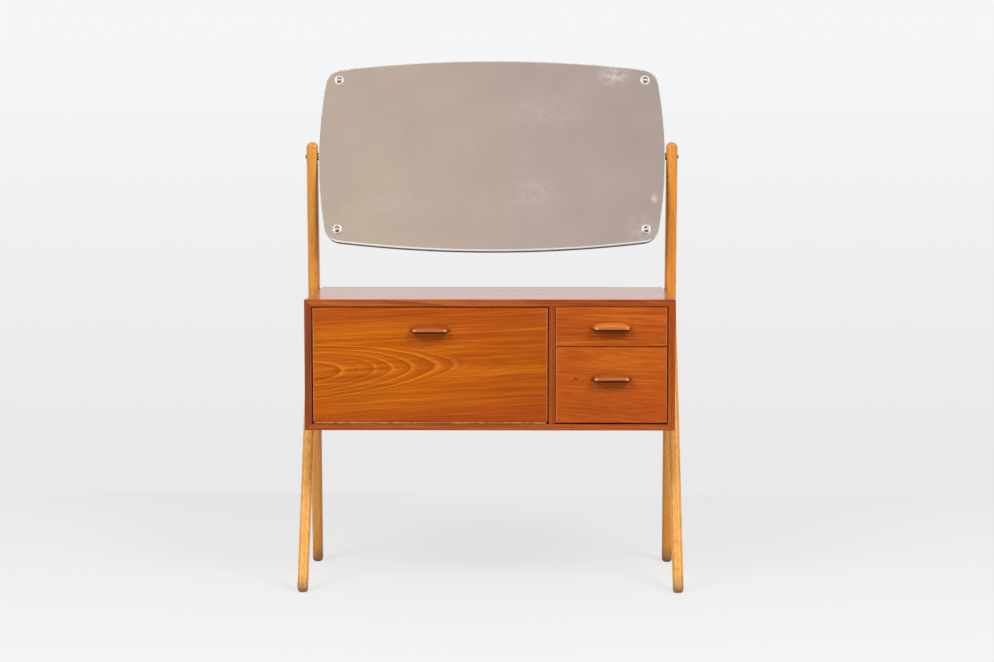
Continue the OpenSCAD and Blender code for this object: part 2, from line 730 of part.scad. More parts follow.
module stay_case_plate() in_frame() color(brass) difference() {
    translate([-inner_x, guide_pivot[0], guide_pivot[1]])
        block(0, stay_plate_t, -stay_plate_l / 2, stay_plate_l / 2, -stay_plate_h / 2, stay_plate_h / 2);
    rod_x(guide_stud_r + running_fit, -inner_x - 1, guide_x0 + 1, guide_pivot[0], guide_pivot[1]);
    stay_plate_screws_at() fitting_screw_hole();
}

// Swivelling guide: a slotted block on a stud that is headed behind the case plate
module stay_guide() in_frame() color(brass) {
    difference() {
        translate([guide_x0, guide_pivot[0], guide_pivot[1]]) rotate([stay_bar_angle, 0, 0])
            translate([0, -guide_l / 2, -guide_h / 2]) cube([guide_t, guide_l, guide_h]);
        translate([stay_x0 - slide_gap, guide_pivot[0], guide_pivot[1]]) rotate([stay_bar_angle, 0, 0])
            translate([0, -guide_l, -stay_bar_h / 2 - slide_gap])
                cube([stay_bar_t + 2 * slide_gap, 2 * guide_l, stay_bar_h + 2 * slide_gap]);
    }
    rod_x(guide_stud_r, -inner_x - slide_gap, guide_x0, guide_pivot[0], guide_pivot[1]);
    translate([-inner_x - slide_gap, 0, 0])
        rod_x(guide_head_r, -guide_head_t, 0, guide_pivot[0], guide_pivot[1]);
}

// The bar lies along its own Y from the rivet on the flap
module along_stay(x) translate([x, stay_pivot[0], stay_pivot[1]]) rotate([stay_bar_angle, 0, 0]) children();

module stay_arm() in_frame() color(brass) along_stay(stay_x0) difference() {
    union() {
        translate([0, 0, -stay_bar_h / 2]) cube([stay_bar_t, stay_stop_at, stay_bar_h]);
        for (y = [0, stay_stop_at]) rod_x(stay_bar_h / 2, 0, stay_bar_t, y, 0);
    }
    rod_x(rivet_r + running_fit, -1, stay_bar_t + 1, 0, 0);
    rod_x(stay_stop_r + fixed_fit, -1, stay_bar_t + 1, stay_stop_at, 0);
}

module stay_stop() in_frame() color(brass)
    along_stay((stay_x0 + stay_x1) / 2)
        rod_x(stay_stop_r, -stay_stop_l / 2, stay_stop_l / 2, stay_stop_at, 0);

module flap_panel() in_frame() color(teak) difference() {
    block(flap_x0, flap_x1, front_recess, flap_inner_y, flap_z0, flap_z1);
    hinge_flap_screws_at() hinge_screw_hole();
    bracket_screws_at() fitting_screw_hole();
    catch_plate_screws_at() fitting_screw_hole();
    handle_screws_at(flap_mid_x, flap_handle_z, flap_inner_y) handle_screw_hole(flap_t);
}

module catch_plate() in_frame() color(steel) difference() {
    block(flap_mid_x - catch_plate_w / 2, flap_mid_x + catch_plate_w / 2,
        flap_inner_y, flap_inner_y + catch_plate_t, catch_plate_z0, catch_plate_z1);
    catch_plate_screws_at() fitting_screw_hole();
}

module flap_fitting_screws() in_frame() color(steel) {
    bracket_screws_at() wood_screw(fitting_screw_r, fitting_screw_l, fitting_screw_head_r);
    catch_plate_screws_at() wood_screw(fitting_screw_r, fitting_screw_l, fitting_screw_head_r);
}

// Angle bracket on the flap: a plate against the wood and an ear that carries the rivet
module stay_flap_bracket() in_frame() color(brass) difference() {
    union() {
        block(bracket_x0, bracket_x0 + bracket_w, flap_inner_y, flap_inner_y + bracket_t,
            stay_pivot[1] - bracket_h / 2, stay_pivot[1] + bracket_h / 2);
        block(bracket_x0, bracket_x0 + bracket_t, flap_inner_y, stay_pivot[0],
            stay_pivot[1] - bracket_eye_r, stay_pivot[1] + bracket_eye_r);
        rod_x(bracket_eye_r, bracket_x0, bracket_x0 + bracket_t, stay_pivot[0], stay_pivot[1]);
    }
    rod_x(rivet_r + fixed_fit, bracket_x0 - 1, bracket_x0 + bracket_t + 1, stay_pivot[0], stay_pivot[1]);
    bracket_screws_at() fitting_screw_hole();
}

module stay_rivet() in_frame() color(brass) translate([0, stay_pivot[0], stay_pivot[1]]) {
    rivet_x0 = stay_x0 - slide_gap;
    rivet_x1 = bracket_x0 + bracket_t;
    rod_x(rivet_r, rivet_x0, rivet_x1, 0, 0);
    rod_x(rivet_head_r, rivet_x0 - rivet_head_t, rivet_x0, 0, 0);
    rod_x(rivet_head_r, rivet_x1, rivet_x1 + rivet_head_t, 0, 0);
}

handle_screw_r = 2;
handle_screw_head_r = 4;
module handle_screws_at(x, z, y) for (s = [-1, 1])
    translate([x + s * handle_screw_span / 2, y, z + handle_screw_up]) face_back() children();
module handle_screw_hole(front_t) screw_hole(handle_screw_r, front_t + handle_bite, handle_screw_head_r);
module handle_screws(x, z, front_t) color(brass) handle_screws_at(x, z, front_recess + front_t)
    wood_screw(handle_screw_r, front_t + handle_bite, handle_screw_head_r);

// Carved pull: it sweeps from a long foot on the wood out to a shorter bar, with a finger
// hollow under it that is open below and closed at both ends
module handle(x, z, front_t) translate([x, front_recess, z]) color(teak_edge) difference() {
    hull() for (s = [-1, 1]) {
        translate([s * (handle_l - handle_foot_h) / 2, 0, 0]) face_front()
            cylinder(d=handle_foot_h, h=handle_foot_t, $fn=32);
        for (end = [[handle_bar_z, 0], [-handle_bar_z, handle_undercut]])
            translate([s * handle_bar_x, handle_bar_r - handle_out + end[1], end[0]])
                sphere(r=handle_bar_r, $fn=32);
    }
    translate([0, 0.5 - finger_r, -handle_h / 2]) {
        rod_x(finger_r, -finger_l / 2, finger_l / 2, 0, 0);
        for (s = [-1, 1]) translate([s * finger_l / 2, 0, 0]) sphere(r=finger_r, $fn=fine);
    }
    for (s = [-1, 1]) translate([s * handle_screw_span / 2, 1, handle_screw_up]) face_front()
        cylinder(r=handle_screw_r + fixed_fit, h=handle_bite + 1.5, $fn=fine);
}

module flap_handle() in_frame() handle(flap_mid_x, flap_handle_z, flap_t);
module flap_handle_screws() in_frame() handle_screws(flap_mid_x, flap_handle_z, flap_t);

// Dovetails on a drawer side's front end, in Y and Z, widening towards the front
module tails(z0, z1) {
    count = max(1, round((z1 - z0) / tail_pitch));
    pitch = (z1 - z0) / count;
    for (i = [0:count - 1]) translate([drawer_y1, z0 + (i + 0.5) * pitch])
        polygon([[1, -0.24 * pitch], [1, 0.24 * pitch], [-tail_l, 0.33 * pitch], [-tail_l, -0.33 * pitch]]);
}

module drawer_front(z0, z1, side_top, handle_z) color(teak) difference() {
    block(drawer_x0, drawer_x1, drawer_y0, drawer_y1, z0, z1);
    for (x = [drawer_x0, drawer_x1 - drawer_side_t]) along_x(x, x + drawer_side_t) tails(z0, side_top);
    drawer_groove(z0);
    handle_screws_at(drawer_mid_x, handle_z, drawer_y1) handle_screw_hole(drawer_front_t);
}

// The groove round the inside of a drawer that holds its bottom
module drawer_groove(z0) block(
    drawer_x0 + drawer_side_t - groove_deep, drawer_x1 - drawer_side_t + groove_deep,
    drawer_y1 - groove_deep, drawer_end + 1, z0 + groove_up, z0 + groove_up + drawer_bottom_t + groove_fit);

module drawer_side(z0, side_top, x) color(drawer_wood) difference() {
    union() {
        block(x, x + drawer_side_t, drawer_y1, drawer_end, z0, side_top);
        along_x(x, x + drawer_side_t) tails(z0, side_top);
    }
    drawer_groove(z0);
    drawer_back_block(z0, side_top, fixed_fit);
}

module drawer_back_block(z0, side_top, grow) block(
    drawer_x0 + drawer_side_t - back_dado - grow, drawer_x1 - drawer_side_t + back_dado + grow,
    drawer_end - back_inset - drawer_back_t - grow, drawer_end - back_inset + grow,
    z0 + groove_up + drawer_bottom_t + groove_fit, side_top - back_drop);

module drawer_back(z0, side_top) color(drawer_wood) drawer_back_block(z0, side_top, 0);

module drawer_bottom(z0) color(drawer_wood) block(
    drawer_x0 + drawer_side_t - groove_deep + 0.3, drawer_x1 - drawer_side_t + groove_deep - 0.3,
    drawer_y1 - groove_deep + 0.3, drawer_end, z0 + groove_up, z0 + groove_up + drawer_bottom_t);

module upper_drawer_front() in_frame() drawer_front(upper_z0, upper_z1, upper_side_top, upper_handle_z);
module upper_drawer_left_side() in_frame() drawer_side(upper_z0, upper_side_top, drawer_x0);
module upper_drawer_right_side() in_frame() drawer_side(upper_z0, upper_side_top, drawer_x1 - drawer_side_t);
module upper_drawer_back() in_frame() drawer_back(upper_z0, upper_side_top);
module upper_drawer_bottom() in_frame() drawer_bottom(upper_z0);
module upper_drawer_handle() in_frame() handle(drawer_mid_x, upper_handle_z, drawer_front_t);
module upper_handle_screws() in_frame() handle_screws(drawer_mid_x, upper_handle_z, drawer_front_t);

module lower_drawer_front() in_frame() drawer_front(lower_z0, lower_z1, lower_side_top, lower_handle_z);
module lower_drawer_left_side() in_frame() drawer_side(lower_z0, lower_side_top, drawer_x0);
module lower_drawer_right_side() in_frame() drawer_side(lower_z0, lower_side_top, drawer_x1 - drawer_side_t);
module lower_drawer_back() in_frame() drawer_back(lower_z0, lower_side_top);
module lower_drawer_bottom() in_frame() drawer_bottom(lower_z0);
module lower_drawer_handle() in_frame() handle(drawer_mid_x, lower_handle_z, drawer_front_t);
module lower_handle_screws() in_frame() handle_screws(drawer_mid_x, lower_handle_z, drawer_front_t);

// Outline of the glass in X and Z: four shallow arcs and four rounded corners.
// inset draws the same outline further in, for the backing board.
corner_a = mirror_a - mirror_side_r;
corner_b = mirror_b - mirror_top_r;
corner_span = norm([corner_a, corner_b]);
corner_ra = mirror_side_r - mirror_corner_r;
corner_rb = mirror_top_r - mirror_corner_r;
corner_along = (corner_ra * corner_ra - corner_rb * corner_rb + corner_span * corner_span) / 2 / corner_span;
corner_off = sqrt(corner_ra * corner_ra - corner_along * corner_along);
corner_dir = [-corner_a, corner_b] / corner_span;
// Centre of the upper right corner's arc, where the two shallow arcs' offsets cross
corner_mid = [corner_a + corner_along * corner_dir[0] - corner_off * corner_dir[1],
    corner_along * corner_dir[1] + corner_off * corner_dir[0]];
side_end = atan2(corner_mid[1], corner_mid[0] - corner_a);
top_end = atan2(corner_mid[1] - corner_b, corner_mid[0]);

function drop_last(p) = [for (i = [0:len(p) - 2]) p[i]];
function turned(p) = [for (i = [len(p) - 1:-1:0]) p[i]];
function quarter(inset) = concat(
    drop_last(arc(corner_a, 0, mirror_side_r - inset, 0, side_end, 8)),
    drop_last(arc(corner_mid[0], corner_mid[1], mirror_corner_r - inset, side_end, top_end, 10)),
    arc(0, corner_b, mirror_top_r - inset, top_end, 90, 12));
module mirror_outline(inset) polygon(concat(
    drop_last(quarter(inset)),
    drop_last(flipped(turned(quarter(inset)), -1, 1)),
    drop_last(flipped(quarter(inset), -1, -1)),
    drop_last(flipped(turned(quarter(inset)), 1, -1))));

module in_mirror() in_frame() translate([0, pivot_y, pivot_z]) rotate([-mirror_tilt, 0, 0]) children();

module mirror_screws_at() for (s = [-1, 1], z = [mirror_b - screw_from_top, screw_from_bottom - mirror_b])
    translate([s * (mirror_a - screw_from_side), glass_front, z]) face_front() children();

module mirror_glass() color("#cfd2d4") in_mirror() difference() {
    along_y(glass_front, glass_back) mirror_outline(0);
    mirror_screws_at() translate([0, 0, -glass_t - 1])
        cylinder(r=screw_hole_r + fixed_fit, h=glass_t + 2, $fn=fine);
}

module mirror_board() color(dark_board) in_mirror() difference() {
    along_y(glass_back, board_t / 2) mirror_outline(board_inset);
    mirror_screws_at() translate([0, 0, -glass_t - mirror_screw_into - 0.5])
        cylinder(r=mirror_shank_r + fixed_fit, h=mirror_screw_into + 1.5, $fn=fine);
    both_sides() rod_x(bush_r + fixed_fit, board_half - insert_l - 0.5, board_half + 1, 0, 0);
}

module mirror_sleeves() color("#e8e6e0") in_mirror() mirror_screws_at() difference() {
    translate([0, 0, -glass_t + 0.1]) cylinder(r=screw_hole_r, h=glass_t - 0.2, $fn=fine);
    translate([0, 0, -glass_t - 1]) cylinder(r=mirror_shank_r + fixed_fit, h=glass_t + 2, $fn=fine);
}

// Cup washer: a seat for the screw's cone, a rolled rim and a skirt down to the glass
module mirror_cup_washers() color(steel) in_mirror() mirror_screws_at() rotate_extrude($fn=fine)
    polygon(concat(
        [[mirror_shank_r + 0.3, 0], [mirror_head_d / 2 + 0.2, washer_h - 0.3]],
        arc(mirror_head_d / 2 + 1.1, washer_h - 0.9, 0.9, 135, 45, 4),
        [[washer_d / 2 - 0.6, 0.9], [washer_d / 2, 0]]));

module mirror_screws() color(steel) in_mirror() mirror_screws_at() difference() {
    head_r = mirror_head_d / 2;
    union() {
        translate([0, 0, -glass_t - mirror_screw_into])
            cylinder(r=mirror_shank_r, h=glass_t + mirror_screw_into + 0.5, $fn=fine);
        rotate_extrude($fn=fine) polygon([[0, 0.2], [mirror_shank_r, 0.2], [head_r, washer_h - 0.2],
            [0.92 * head_r, washer_h + 0.6], [0.7 * head_r, washer_h + 1.3], [0.4 * head_r, washer_h + 1.8],
            [0, washer_h + 2]]);
    }
    translate([-head_r, -0.8, washer_h + 0.4]) cube([2 * head_r, 1.6, 3]);
}

module pivot_screws() color(brass) in_mirror() both_sides() {
    head_x = leg_x + long_leg_t + slide_gap;
    rod_x(pivot_shank_r, board_half - insert_l, head_x, 0, 0);
    translate([head_x, 0, 0]) rotate([0, 90, 0]) rotate_extrude($fn=fine)
        polygon(concat([[0, 0]], flipped(arc(0, 0, 1, 0, 90, 6), pivot_head_d / 2, pivot_head_h)));
}

// Threaded insert: its sleeve sits in the edge of the board, and its collar keeps the
// mirror clear of the leg
module pivot_inserts() color(brass) in_mirror() both_sides() difference() {
    union() {
        rod_x(spacer_d / 2, board_half, leg_x - 0.1, 0, 0);
        rod_x(bush_r, board_half - insert_l, board_half, 0, 0);
    }
    rod_x(pivot_shank_r + fixed_fit, board_half - insert_l - 1, leg_x + 1, 0, 0);
}

top_panel();
bottom_panel();
left_side_panel();
right_side_panel();
divider_panel();
back_panel();
corner_splines();
divider_dowels();
back_panel_screws();
left_long_leg();
right_long_leg();
left_front_leg();
right_front_leg();
leg_dowels();
leg_screws();
leg_washers();
pivot_bushes();
upper_runners();
lower_runners();
runner_screws();
hinge_case_leaf();
hinge_pin();
hinge_case_screws();
catch_housing();
catch_magnet();
stay_case_plate();
case_fitting_screws();
flap_panel();
hinge_flap_leaf();
hinge_flap_screws();
catch_plate();
stay_flap_bracket();
flap_fitting_screws();
stay_rivet();
flap_handle();
flap_handle_screws();
stay_guide();
stay_arm();
stay_stop();
upper_drawer_front();
upper_drawer_left_side();
upper_drawer_right_side();
upper_drawer_back();
upper_drawer_bottom();
upper_drawer_handle();
upper_handle_screws();
lower_drawer_front();
lower_drawer_left_side();
lower_drawer_right_side();
lower_drawer_back();
lower_drawer_bottom();
lower_drawer_handle();
lower_handle_screws();
mirror_glass();
mirror_board();
mirror_sleeves();
mirror_cup_washers();
mirror_screws();
pivot_screws();
pivot_inserts();
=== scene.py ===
import json
from math import cos, radians, sin

import bmesh
import bpy
from mathutils import Euler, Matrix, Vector

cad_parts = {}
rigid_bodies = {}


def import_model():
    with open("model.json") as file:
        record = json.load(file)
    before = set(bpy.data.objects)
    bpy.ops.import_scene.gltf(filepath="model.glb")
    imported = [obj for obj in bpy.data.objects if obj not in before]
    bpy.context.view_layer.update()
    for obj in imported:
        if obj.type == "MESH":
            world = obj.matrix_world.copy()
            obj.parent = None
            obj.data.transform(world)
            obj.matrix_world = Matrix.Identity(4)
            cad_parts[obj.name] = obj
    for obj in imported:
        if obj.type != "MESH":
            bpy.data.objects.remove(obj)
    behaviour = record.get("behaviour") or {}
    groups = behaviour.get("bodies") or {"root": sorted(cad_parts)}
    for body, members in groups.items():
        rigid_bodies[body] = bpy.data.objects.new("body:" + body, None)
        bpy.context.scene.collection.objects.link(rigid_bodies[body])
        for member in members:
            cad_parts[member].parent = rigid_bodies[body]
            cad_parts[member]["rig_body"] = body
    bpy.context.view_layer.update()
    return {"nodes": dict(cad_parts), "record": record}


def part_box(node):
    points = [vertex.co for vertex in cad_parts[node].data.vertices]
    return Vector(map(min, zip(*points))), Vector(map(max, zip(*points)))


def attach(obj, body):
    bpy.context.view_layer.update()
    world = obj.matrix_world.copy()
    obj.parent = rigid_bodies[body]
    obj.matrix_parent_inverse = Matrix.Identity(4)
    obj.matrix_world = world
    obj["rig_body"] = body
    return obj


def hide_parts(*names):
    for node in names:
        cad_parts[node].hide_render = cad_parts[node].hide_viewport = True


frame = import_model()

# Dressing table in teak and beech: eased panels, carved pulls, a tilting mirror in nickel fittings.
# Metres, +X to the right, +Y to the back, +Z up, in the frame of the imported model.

MM = 0.001
NODES = frame["nodes"]


def hex_colour(code):
    """An sRGB hex colour as linear red, green, blue and alpha."""
    parts = [int(code[i:i + 2], 16) / 255 for i in (1, 3, 5)]
    return tuple(p / 12.92 if p <= 0.04045 else ((p + 0.055) / 1.055) ** 2.4 for p in parts) + (1.0,)


def add(tree, kind, inputs=None, stops=None, **settings):
    """Adds a node. inputs are values, or the nodes or sockets that feed it; stops fill a colour ramp."""
    new = tree.nodes.new("ShaderNode" + kind)
    for name, value in settings.items():
        setattr(new, name, value)
    for place, (position, colour) in enumerate(stops or []):
        ramp = new.color_ramp.elements
        stop = ramp[place] if place < 2 else ramp.new(position)
        stop.position = position
        stop.color = hex_colour(colour)
    for socket, value in (inputs or {}).items():
        if isinstance(value, bpy.types.Node):
            value = next(output for output in value.outputs if output.enabled)
        if isinstance(value, bpy.types.NodeSocket):
            tree.links.new(value, new.inputs[socket])
        else:
            new.inputs[socket].default_value = value
    return new


def new_material(name):
    """A material with a Principled surface, its node tree and that surface."""
    material = bpy.data.materials.new(name)
    material.use_nodes = True
    return material, material.node_tree, material.node_tree.nodes["Principled BSDF"]


# Wood

# How the trunk is turned for the grain to run this way
ALONG_X = (0.0, 0.0, 0.0)
ALONG_Y = (0.0, 0.0, radians(90))
ALONG_Z = (0.0, radians(-90), 0.0)
# The tone that is neither light nor dark
MIDDLE_TONE = 0.45


def grey(place, level):
    """A ramp stop of a plain grey, whose level is linear."""
    shade = round(255 * (1.055 * level ** (1 / 2.4) - 0.055)) if level > 0.0031 else 0
    return place, f"#{shade:02x}{shade:02x}{shade:02x}"


def grain_noise(tree, trunk, per_m_along, per_m_across, detail=2.0, rough=0.5):
    """Noise drawn out along the trunk, with so many waves a metre each way."""
    waves = (per_m_along, per_m_across, per_m_across)
    stretched = add(tree, "VectorMath", {0: trunk, 1: waves}, operation="MULTIPLY")
    return add(tree, "TexNoise", {"Vector": stretched, "Scale": 1.0, "Detail": detail, "Roughness": rough})


def ring_radius(tree, trunk, warp, dive):
    """Distance from the trunk's middle line, which slow waves and its dive push about."""
    bent = trunk
    for wave, size in ((grain_noise(tree, trunk, 2.5, 11.0), warp * 2),
                       (grain_noise(tree, trunk, 22.0, 45.0), warp / 4)):
        moved = add(tree, "VectorMath", {0: wave.outputs["Color"], 1: (0.5, 0.5, 0.5)}, operation="SUBTRACT")
        push = (0.0, size * MM, size * MM)
        bent = add(tree, "VectorMath", {0: moved, 1: push, 2: bent}, operation="MULTIPLY_ADD")
    if dive:
        start, end, deep = dive
        along = add(tree, "SeparateXYZ", {0: trunk})
        depth = add(tree, "MapRange", {"Value": along, "From Min": start, "From Max": end, "To Max": deep},
                    interpolation_type="SMOOTHSTEP")
        sunk_by = add(tree, "CombineXYZ", {"Y": depth})
        bent = add(tree, "VectorMath", {0: bent, 1: sunk_by}, operation="SUBTRACT")
    across = add(tree, "VectorMath", {0: bent, 1: (0.0, 1.0, 1.0)}, operation="MULTIPLY")
    return add(tree, "VectorMath", {0: across}, operation="LENGTH")


def growth_rings(tree, radius, ring, contrast):
    """Rings of uneven width, light to dark about nought: each starts pale, darkens slowly and
    ends at a sharp line, and some are bolder than others. The count moves on or back by up to
    about a ring, which makes them uneven."""
    count = add(tree, "Math", {0: radius, 1: 1 / (ring * MM)}, operation="MULTIPLY")
    uneven = add(tree, "TexNoise", {"W": count, "Scale": 0.31, "Detail": 2.0}, noise_dimensions="1D")
    count = add(tree, "Math", {0: uneven, 1: 2.6, 2: count}, operation="MULTIPLY_ADD")
    one_ring = [grey(0.0, 0.12), grey(1.0, 0.9), grey(0.14, 0.3), grey(0.36, 0.47), grey(0.68, 0.52),
                grey(0.93, 0.86)]
    part = add(tree, "ValToRGB", {"Fac": add(tree, "Math", {0: count}, operation="FRACT")}, one_ring)
    bold = add(tree, "TexNoise", {"W": count, "Scale": 0.43, "Detail": 1.0}, noise_dimensions="1D")
    bold = add(tree, "Math", {0: bold, 1: 1.2}, operation="POWER")
    level = add(tree, "Math", {0: part, 1: contrast * 2.2, 2: contrast * -1.1}, operation="MULTIPLY_ADD")
    return add(tree, "Math", {0: level, 1: bold}, operation="MULTIPLY")


def bold_rings(tree, radius, figure, contrast):
    """A few strong rings at chosen radii, each with how bold it is, light to dark about nought."""
    margin = 6 * MM
    near, far = figure[0][0] - margin, figure[-1][0] + margin
    stops = [grey(0.0, 0.5), grey(1.0, 0.5)]
    for edge, strength in figure:
        spot = (edge - near) / (far - near)
        stops += [grey(spot - 0.036, 0.5), grey(spot - 0.009, 0.5 + 0.25 * strength),
                  grey(spot + 0.006, 0.5 - 0.38 * strength), grey(spot + 0.034, 0.48)]
    drawn = add(tree, "MapRange", {"Value": radius, "From Min": near, "From Max": far})
    drawn = add(tree, "ValToRGB", {"Fac": drawn}, stops)
    return add(tree, "Math", {0: drawn, 1: contrast * 1.6, 2: contrast * -0.8}, operation="MULTIPLY_ADD")


def soft_spot(tree, place, centre, half):
    """One at centre, falling to nought at half a spot's width and height away. Seen from the front,
    centre and half are across and up."""
    from_middle = add(tree, "VectorMath", {0: place, 1: (centre[0], 0.0, centre[1])}, operation="SUBTRACT")
    per_half = (1 / half[0], 0.0, 1 / half[1])
    scaled = add(tree, "VectorMath", {0: from_middle, 1: per_half}, operation="MULTIPLY")
    away = add(tree, "VectorMath", {0: scaled}, operation="LENGTH")
    return add(tree, "MapRange", {"Value": away, "From Min": 1.0, "From Max": 0.0},
               interpolation_type="SMOOTHSTEP")


def wood(name, shades, pith, grain=ALONG_X, lean=(0.0, 0.0), ring=5.0, warp=6.0, contrast=0.55, gloss=0.18,
         fleck="#6b3410", fleck_size=(9.0, 0.9), fleck_amount=0.35, roughness=0.42, lacquer=0.0,
         drift=0.5, streak=0.8, dive=None, figure=None, reddens=None, foot=None,
         end_colour="#5a2408", spots=()):
    """Solid wood, cut from a trunk. shades are its light, middle, dark and reddish colours, and
    pith is a point of the trunk's middle line, which runs along grain with a small lean.
    ring, warp and fleck_size are millimetres; lacquer is the weight of the clear coat, and drift
    says how far patches turn to the reddish colour.
    dive is where along the trunk its middle sinks, from and to, and how deep in metres.
    figure is the radii in metres at which bold rings end, with how bold they are.
    reddens is the two radii between which the wood turns to its reddish colour.
    foot is the colour that the wood turns to close above the floor, where it is worn, and
    end_colour is its cut ends'. spots are soft patches: centre, half size and how much darker."""
    light, middle, dark, red = shades
    material, tree, surface = new_material(name)
    place = add(tree, "TexCoord").outputs["Object"]
    turn = (grain[0], grain[1] + lean[0], grain[2] + lean[1])
    trunk = add(tree, "Mapping", {"Vector": place, "Location": pith, "Rotation": turn}, vector_type="TEXTURE")
    radius = ring_radius(tree, trunk, warp, dive)
    # Common rings are fainter where chosen ones are bold
    rings = growth_rings(tree, radius, ring, contrast * (0.45 if figure else 1.0))
    if figure:
        rings = add(tree, "Math", {0: rings, 1: bold_rings(tree, radius, figure, contrast)}, operation="ADD")
    fibres = grain_noise(tree, trunk, 8.0, 460.0, 3.0, 0.6)

    # Light or dark: the rings, then fine fibres, streaks and broad bands along the grain
    tone = rings
    for pattern, gain in ((fibres, 0.9), (grain_noise(tree, trunk, 3.0, 160.0, 3.0, 0.55), streak * 1.9),
                          (grain_noise(tree, trunk, 0.9, 28.0), 0.5)):
        level = add(tree, "Math", {0: pattern, 1: gain, 2: gain * -0.5}, operation="MULTIPLY_ADD")
        tone = add(tree, "Math", {0: tone, 1: level}, operation="ADD")
    for centre, half, darker in spots:
        tone = add(tree, "Math", {0: soft_spot(tree, place, centre, half), 1: darker, 2: tone},
                   operation="MULTIPLY_ADD")
    tone = add(tree, "Math", {0: tone, 1: MIDDLE_TONE}, operation="ADD", use_clamp=True)
    colour = add(tree, "ValToRGB", {"Fac": tone}, [(0.0, light), (1.0, dark), (MIDDLE_TONE, middle)])

    # Redder in patches, and outside a chosen ring
    patches = grain_noise(tree, trunk, 2.5, 12.0, 3.0)
    redness = add(tree, "MapRange", {"Value": patches, "From Min": 0.42, "From Max": 0.42 + 1 / 3,
                                     "To Max": drift})
    if reddens:
        outer = add(tree, "MapRange", {"Value": radius, "From Min": reddens[0], "From Max": reddens[1],
                                       "To Max": 0.8}, interpolation_type="SMOOTHSTEP")
        redness = add(tree, "Math", {0: redness, 1: outer}, operation="ADD", use_clamp=True)
    tint = tuple(r / m for r, m in zip(hex_colour(red), hex_colour(middle)))
    colour = add(tree, "Mix", {"Factor": redness, "A": colour, "B": tint}, data_type="RGBA",
                 blend_type="MULTIPLY")

    # Short dark dashes: open pores in teak, ray flecks in beech
    length, width = fleck_size
    pores = grain_noise(tree, trunk, 500 / length, 500 / width, 1.0)
    pores = add(tree, "MapRange", {"Value": pores, "From Min": 0.62, "From Max": 0.745})
    dashes = add(tree, "Math", {0: pores, 1: fleck_amount}, operation="MULTIPLY")
    colour = add(tree, "Mix", {"Factor": dashes, "A": colour, "B": hex_colour(fleck)}, data_type="RGBA")

    # Cut ends drink oil and lacquer, and go dark
    axis = Euler(grain).to_matrix() @ Vector((1, 0, 0))
    facing = add(tree, "VectorMath", {0: add(tree, "TexCoord").outputs["Normal"], 1: tuple(axis)},
                 operation="DOT_PRODUCT")
    facing = add(tree, "Math", {0: facing}, operation="ABSOLUTE")
    end = add(tree, "MapRange", {"Value": facing, "From Min": 0.45, "From Max": 0.95, "To Max": 0.65})
    colour = add(tree, "Mix", {"Factor": end, "A": colour, "B": hex_colour(end_colour)}, data_type="RGBA")

    # Dusty and worn close above the floor
    if foot:
        scuffs = grain_noise(tree, trunk, 60.0, 60.0, 3.0)
        height = add(tree, "Math", {0: scuffs, 1: 0.03, 2: add(tree, "SeparateXYZ", {0: place}).outputs["Z"]},
                     operation="MULTIPLY_ADD")
        worn = add(tree, "MapRange", {"Value": height, "From Min": 0.055, "From Max": 0.021, "To Max": 0.8})
        colour = add(tree, "Mix", {"Factor": worn, "A": colour, "B": hex_colour(foot)}, data_type="RGBA")

    # Fibres and open pores break up the shine
    shine = add(tree, "Math", {0: fibres, 1: 0.16, 2: roughness - 0.08}, operation="MULTIPLY_ADD")
    relief = add(tree, "Math", {0: fibres, 1: 0.5}, operation="MULTIPLY")
    relief = add(tree, "Math", {0: relief, 1: pores}, operation="SUBTRACT")
    bump = add(tree, "Bump", {"Height": relief, "Strength": 0.25, "Distance": 0.15 * MM})
    tree.links.new(colour.outputs["Result"], surface.inputs["Base Color"])
    tree.links.new(shine.outputs[0], surface.inputs["Roughness"])
    tree.links.new(bump.outputs[0], surface.inputs["Normal"])
    surface.inputs["IOR"].default_value = 1.5
    surface.inputs["Specular IOR Level"].default_value = gloss
    surface.inputs["Coat Weight"].default_value = lacquer
    surface.inputs["Coat Roughness"].default_value = 0.1
    return material


# Each wood's light, middle, dark and reddish colours
TEAK_VENEER = ("#d07a12", "#b45704", "#903c06", "#a7470c")
TEAK_DRAWER = ("#ca6f1e", "#af500d", "#883506", "#a34110")
TEAK_SOLID = ("#b9622a", "#a44c18", "#7c3009", "#9c4116")
TEAK_TOP = ("#c66a28", "#b0501a", "#86340a", "#a84616")
TEAK_DIVIDER = ("#a8541c", "#943f0d", "#6e2805", "#8c360c")
TEAK_DARK = ("#9a4f26", "#8a4019", "#62270c", "#82361a")
TEAK_HANDLE = ("#c26a22", "#a84e17", "#6c2606", "#8f3a10")
TEAK_EDGE_AND_HIGHLIGHT = ("#dd9a68", "#cb8350", "#ad6234", "#c07048")
TEAK_LIP_HIGHLIGHT = ("#d68a60", "#b05f26", "#8c4212", "#9c4c20")
TEAK_PULL = ("#ee9c3c", "#da8028", "#b4601a", "#c87028")
TEAK_PAINTED_SHADE = ("#64260a", "#541c06", "#3c1002", "#4a1606")
BEECH = ("#e4a34e", "#d9923a", "#bc7424", "#ce8230")
BEECH_RIGHT = ("#e69c40", "#dc8b2c", "#be6e18", "#d07a1e")
BEECH_FRONT = ("#f3b65c", "#eaa648", "#cd862a", "#dc9038")
PALE = ("#e2bf8f", "#d8b180", "#bd9160", "#cfa272")
PLY = ("#cfa878", "#c49b69", "#a67c4c", "#b98b5c")

# The case's front plane
front_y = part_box("bottom_panel")[0].y

# The door's figure, in metres: where the middle of its nested points is, across and up, and how
# far the trunk's heart lies behind the front plane
FLAME_X, FLAME_Z = -0.121, 0.524
HEART = 0.070
# The trunk sinks between these two places along it, by this depth
DIVE = (-0.35, 0.19, 0.033)
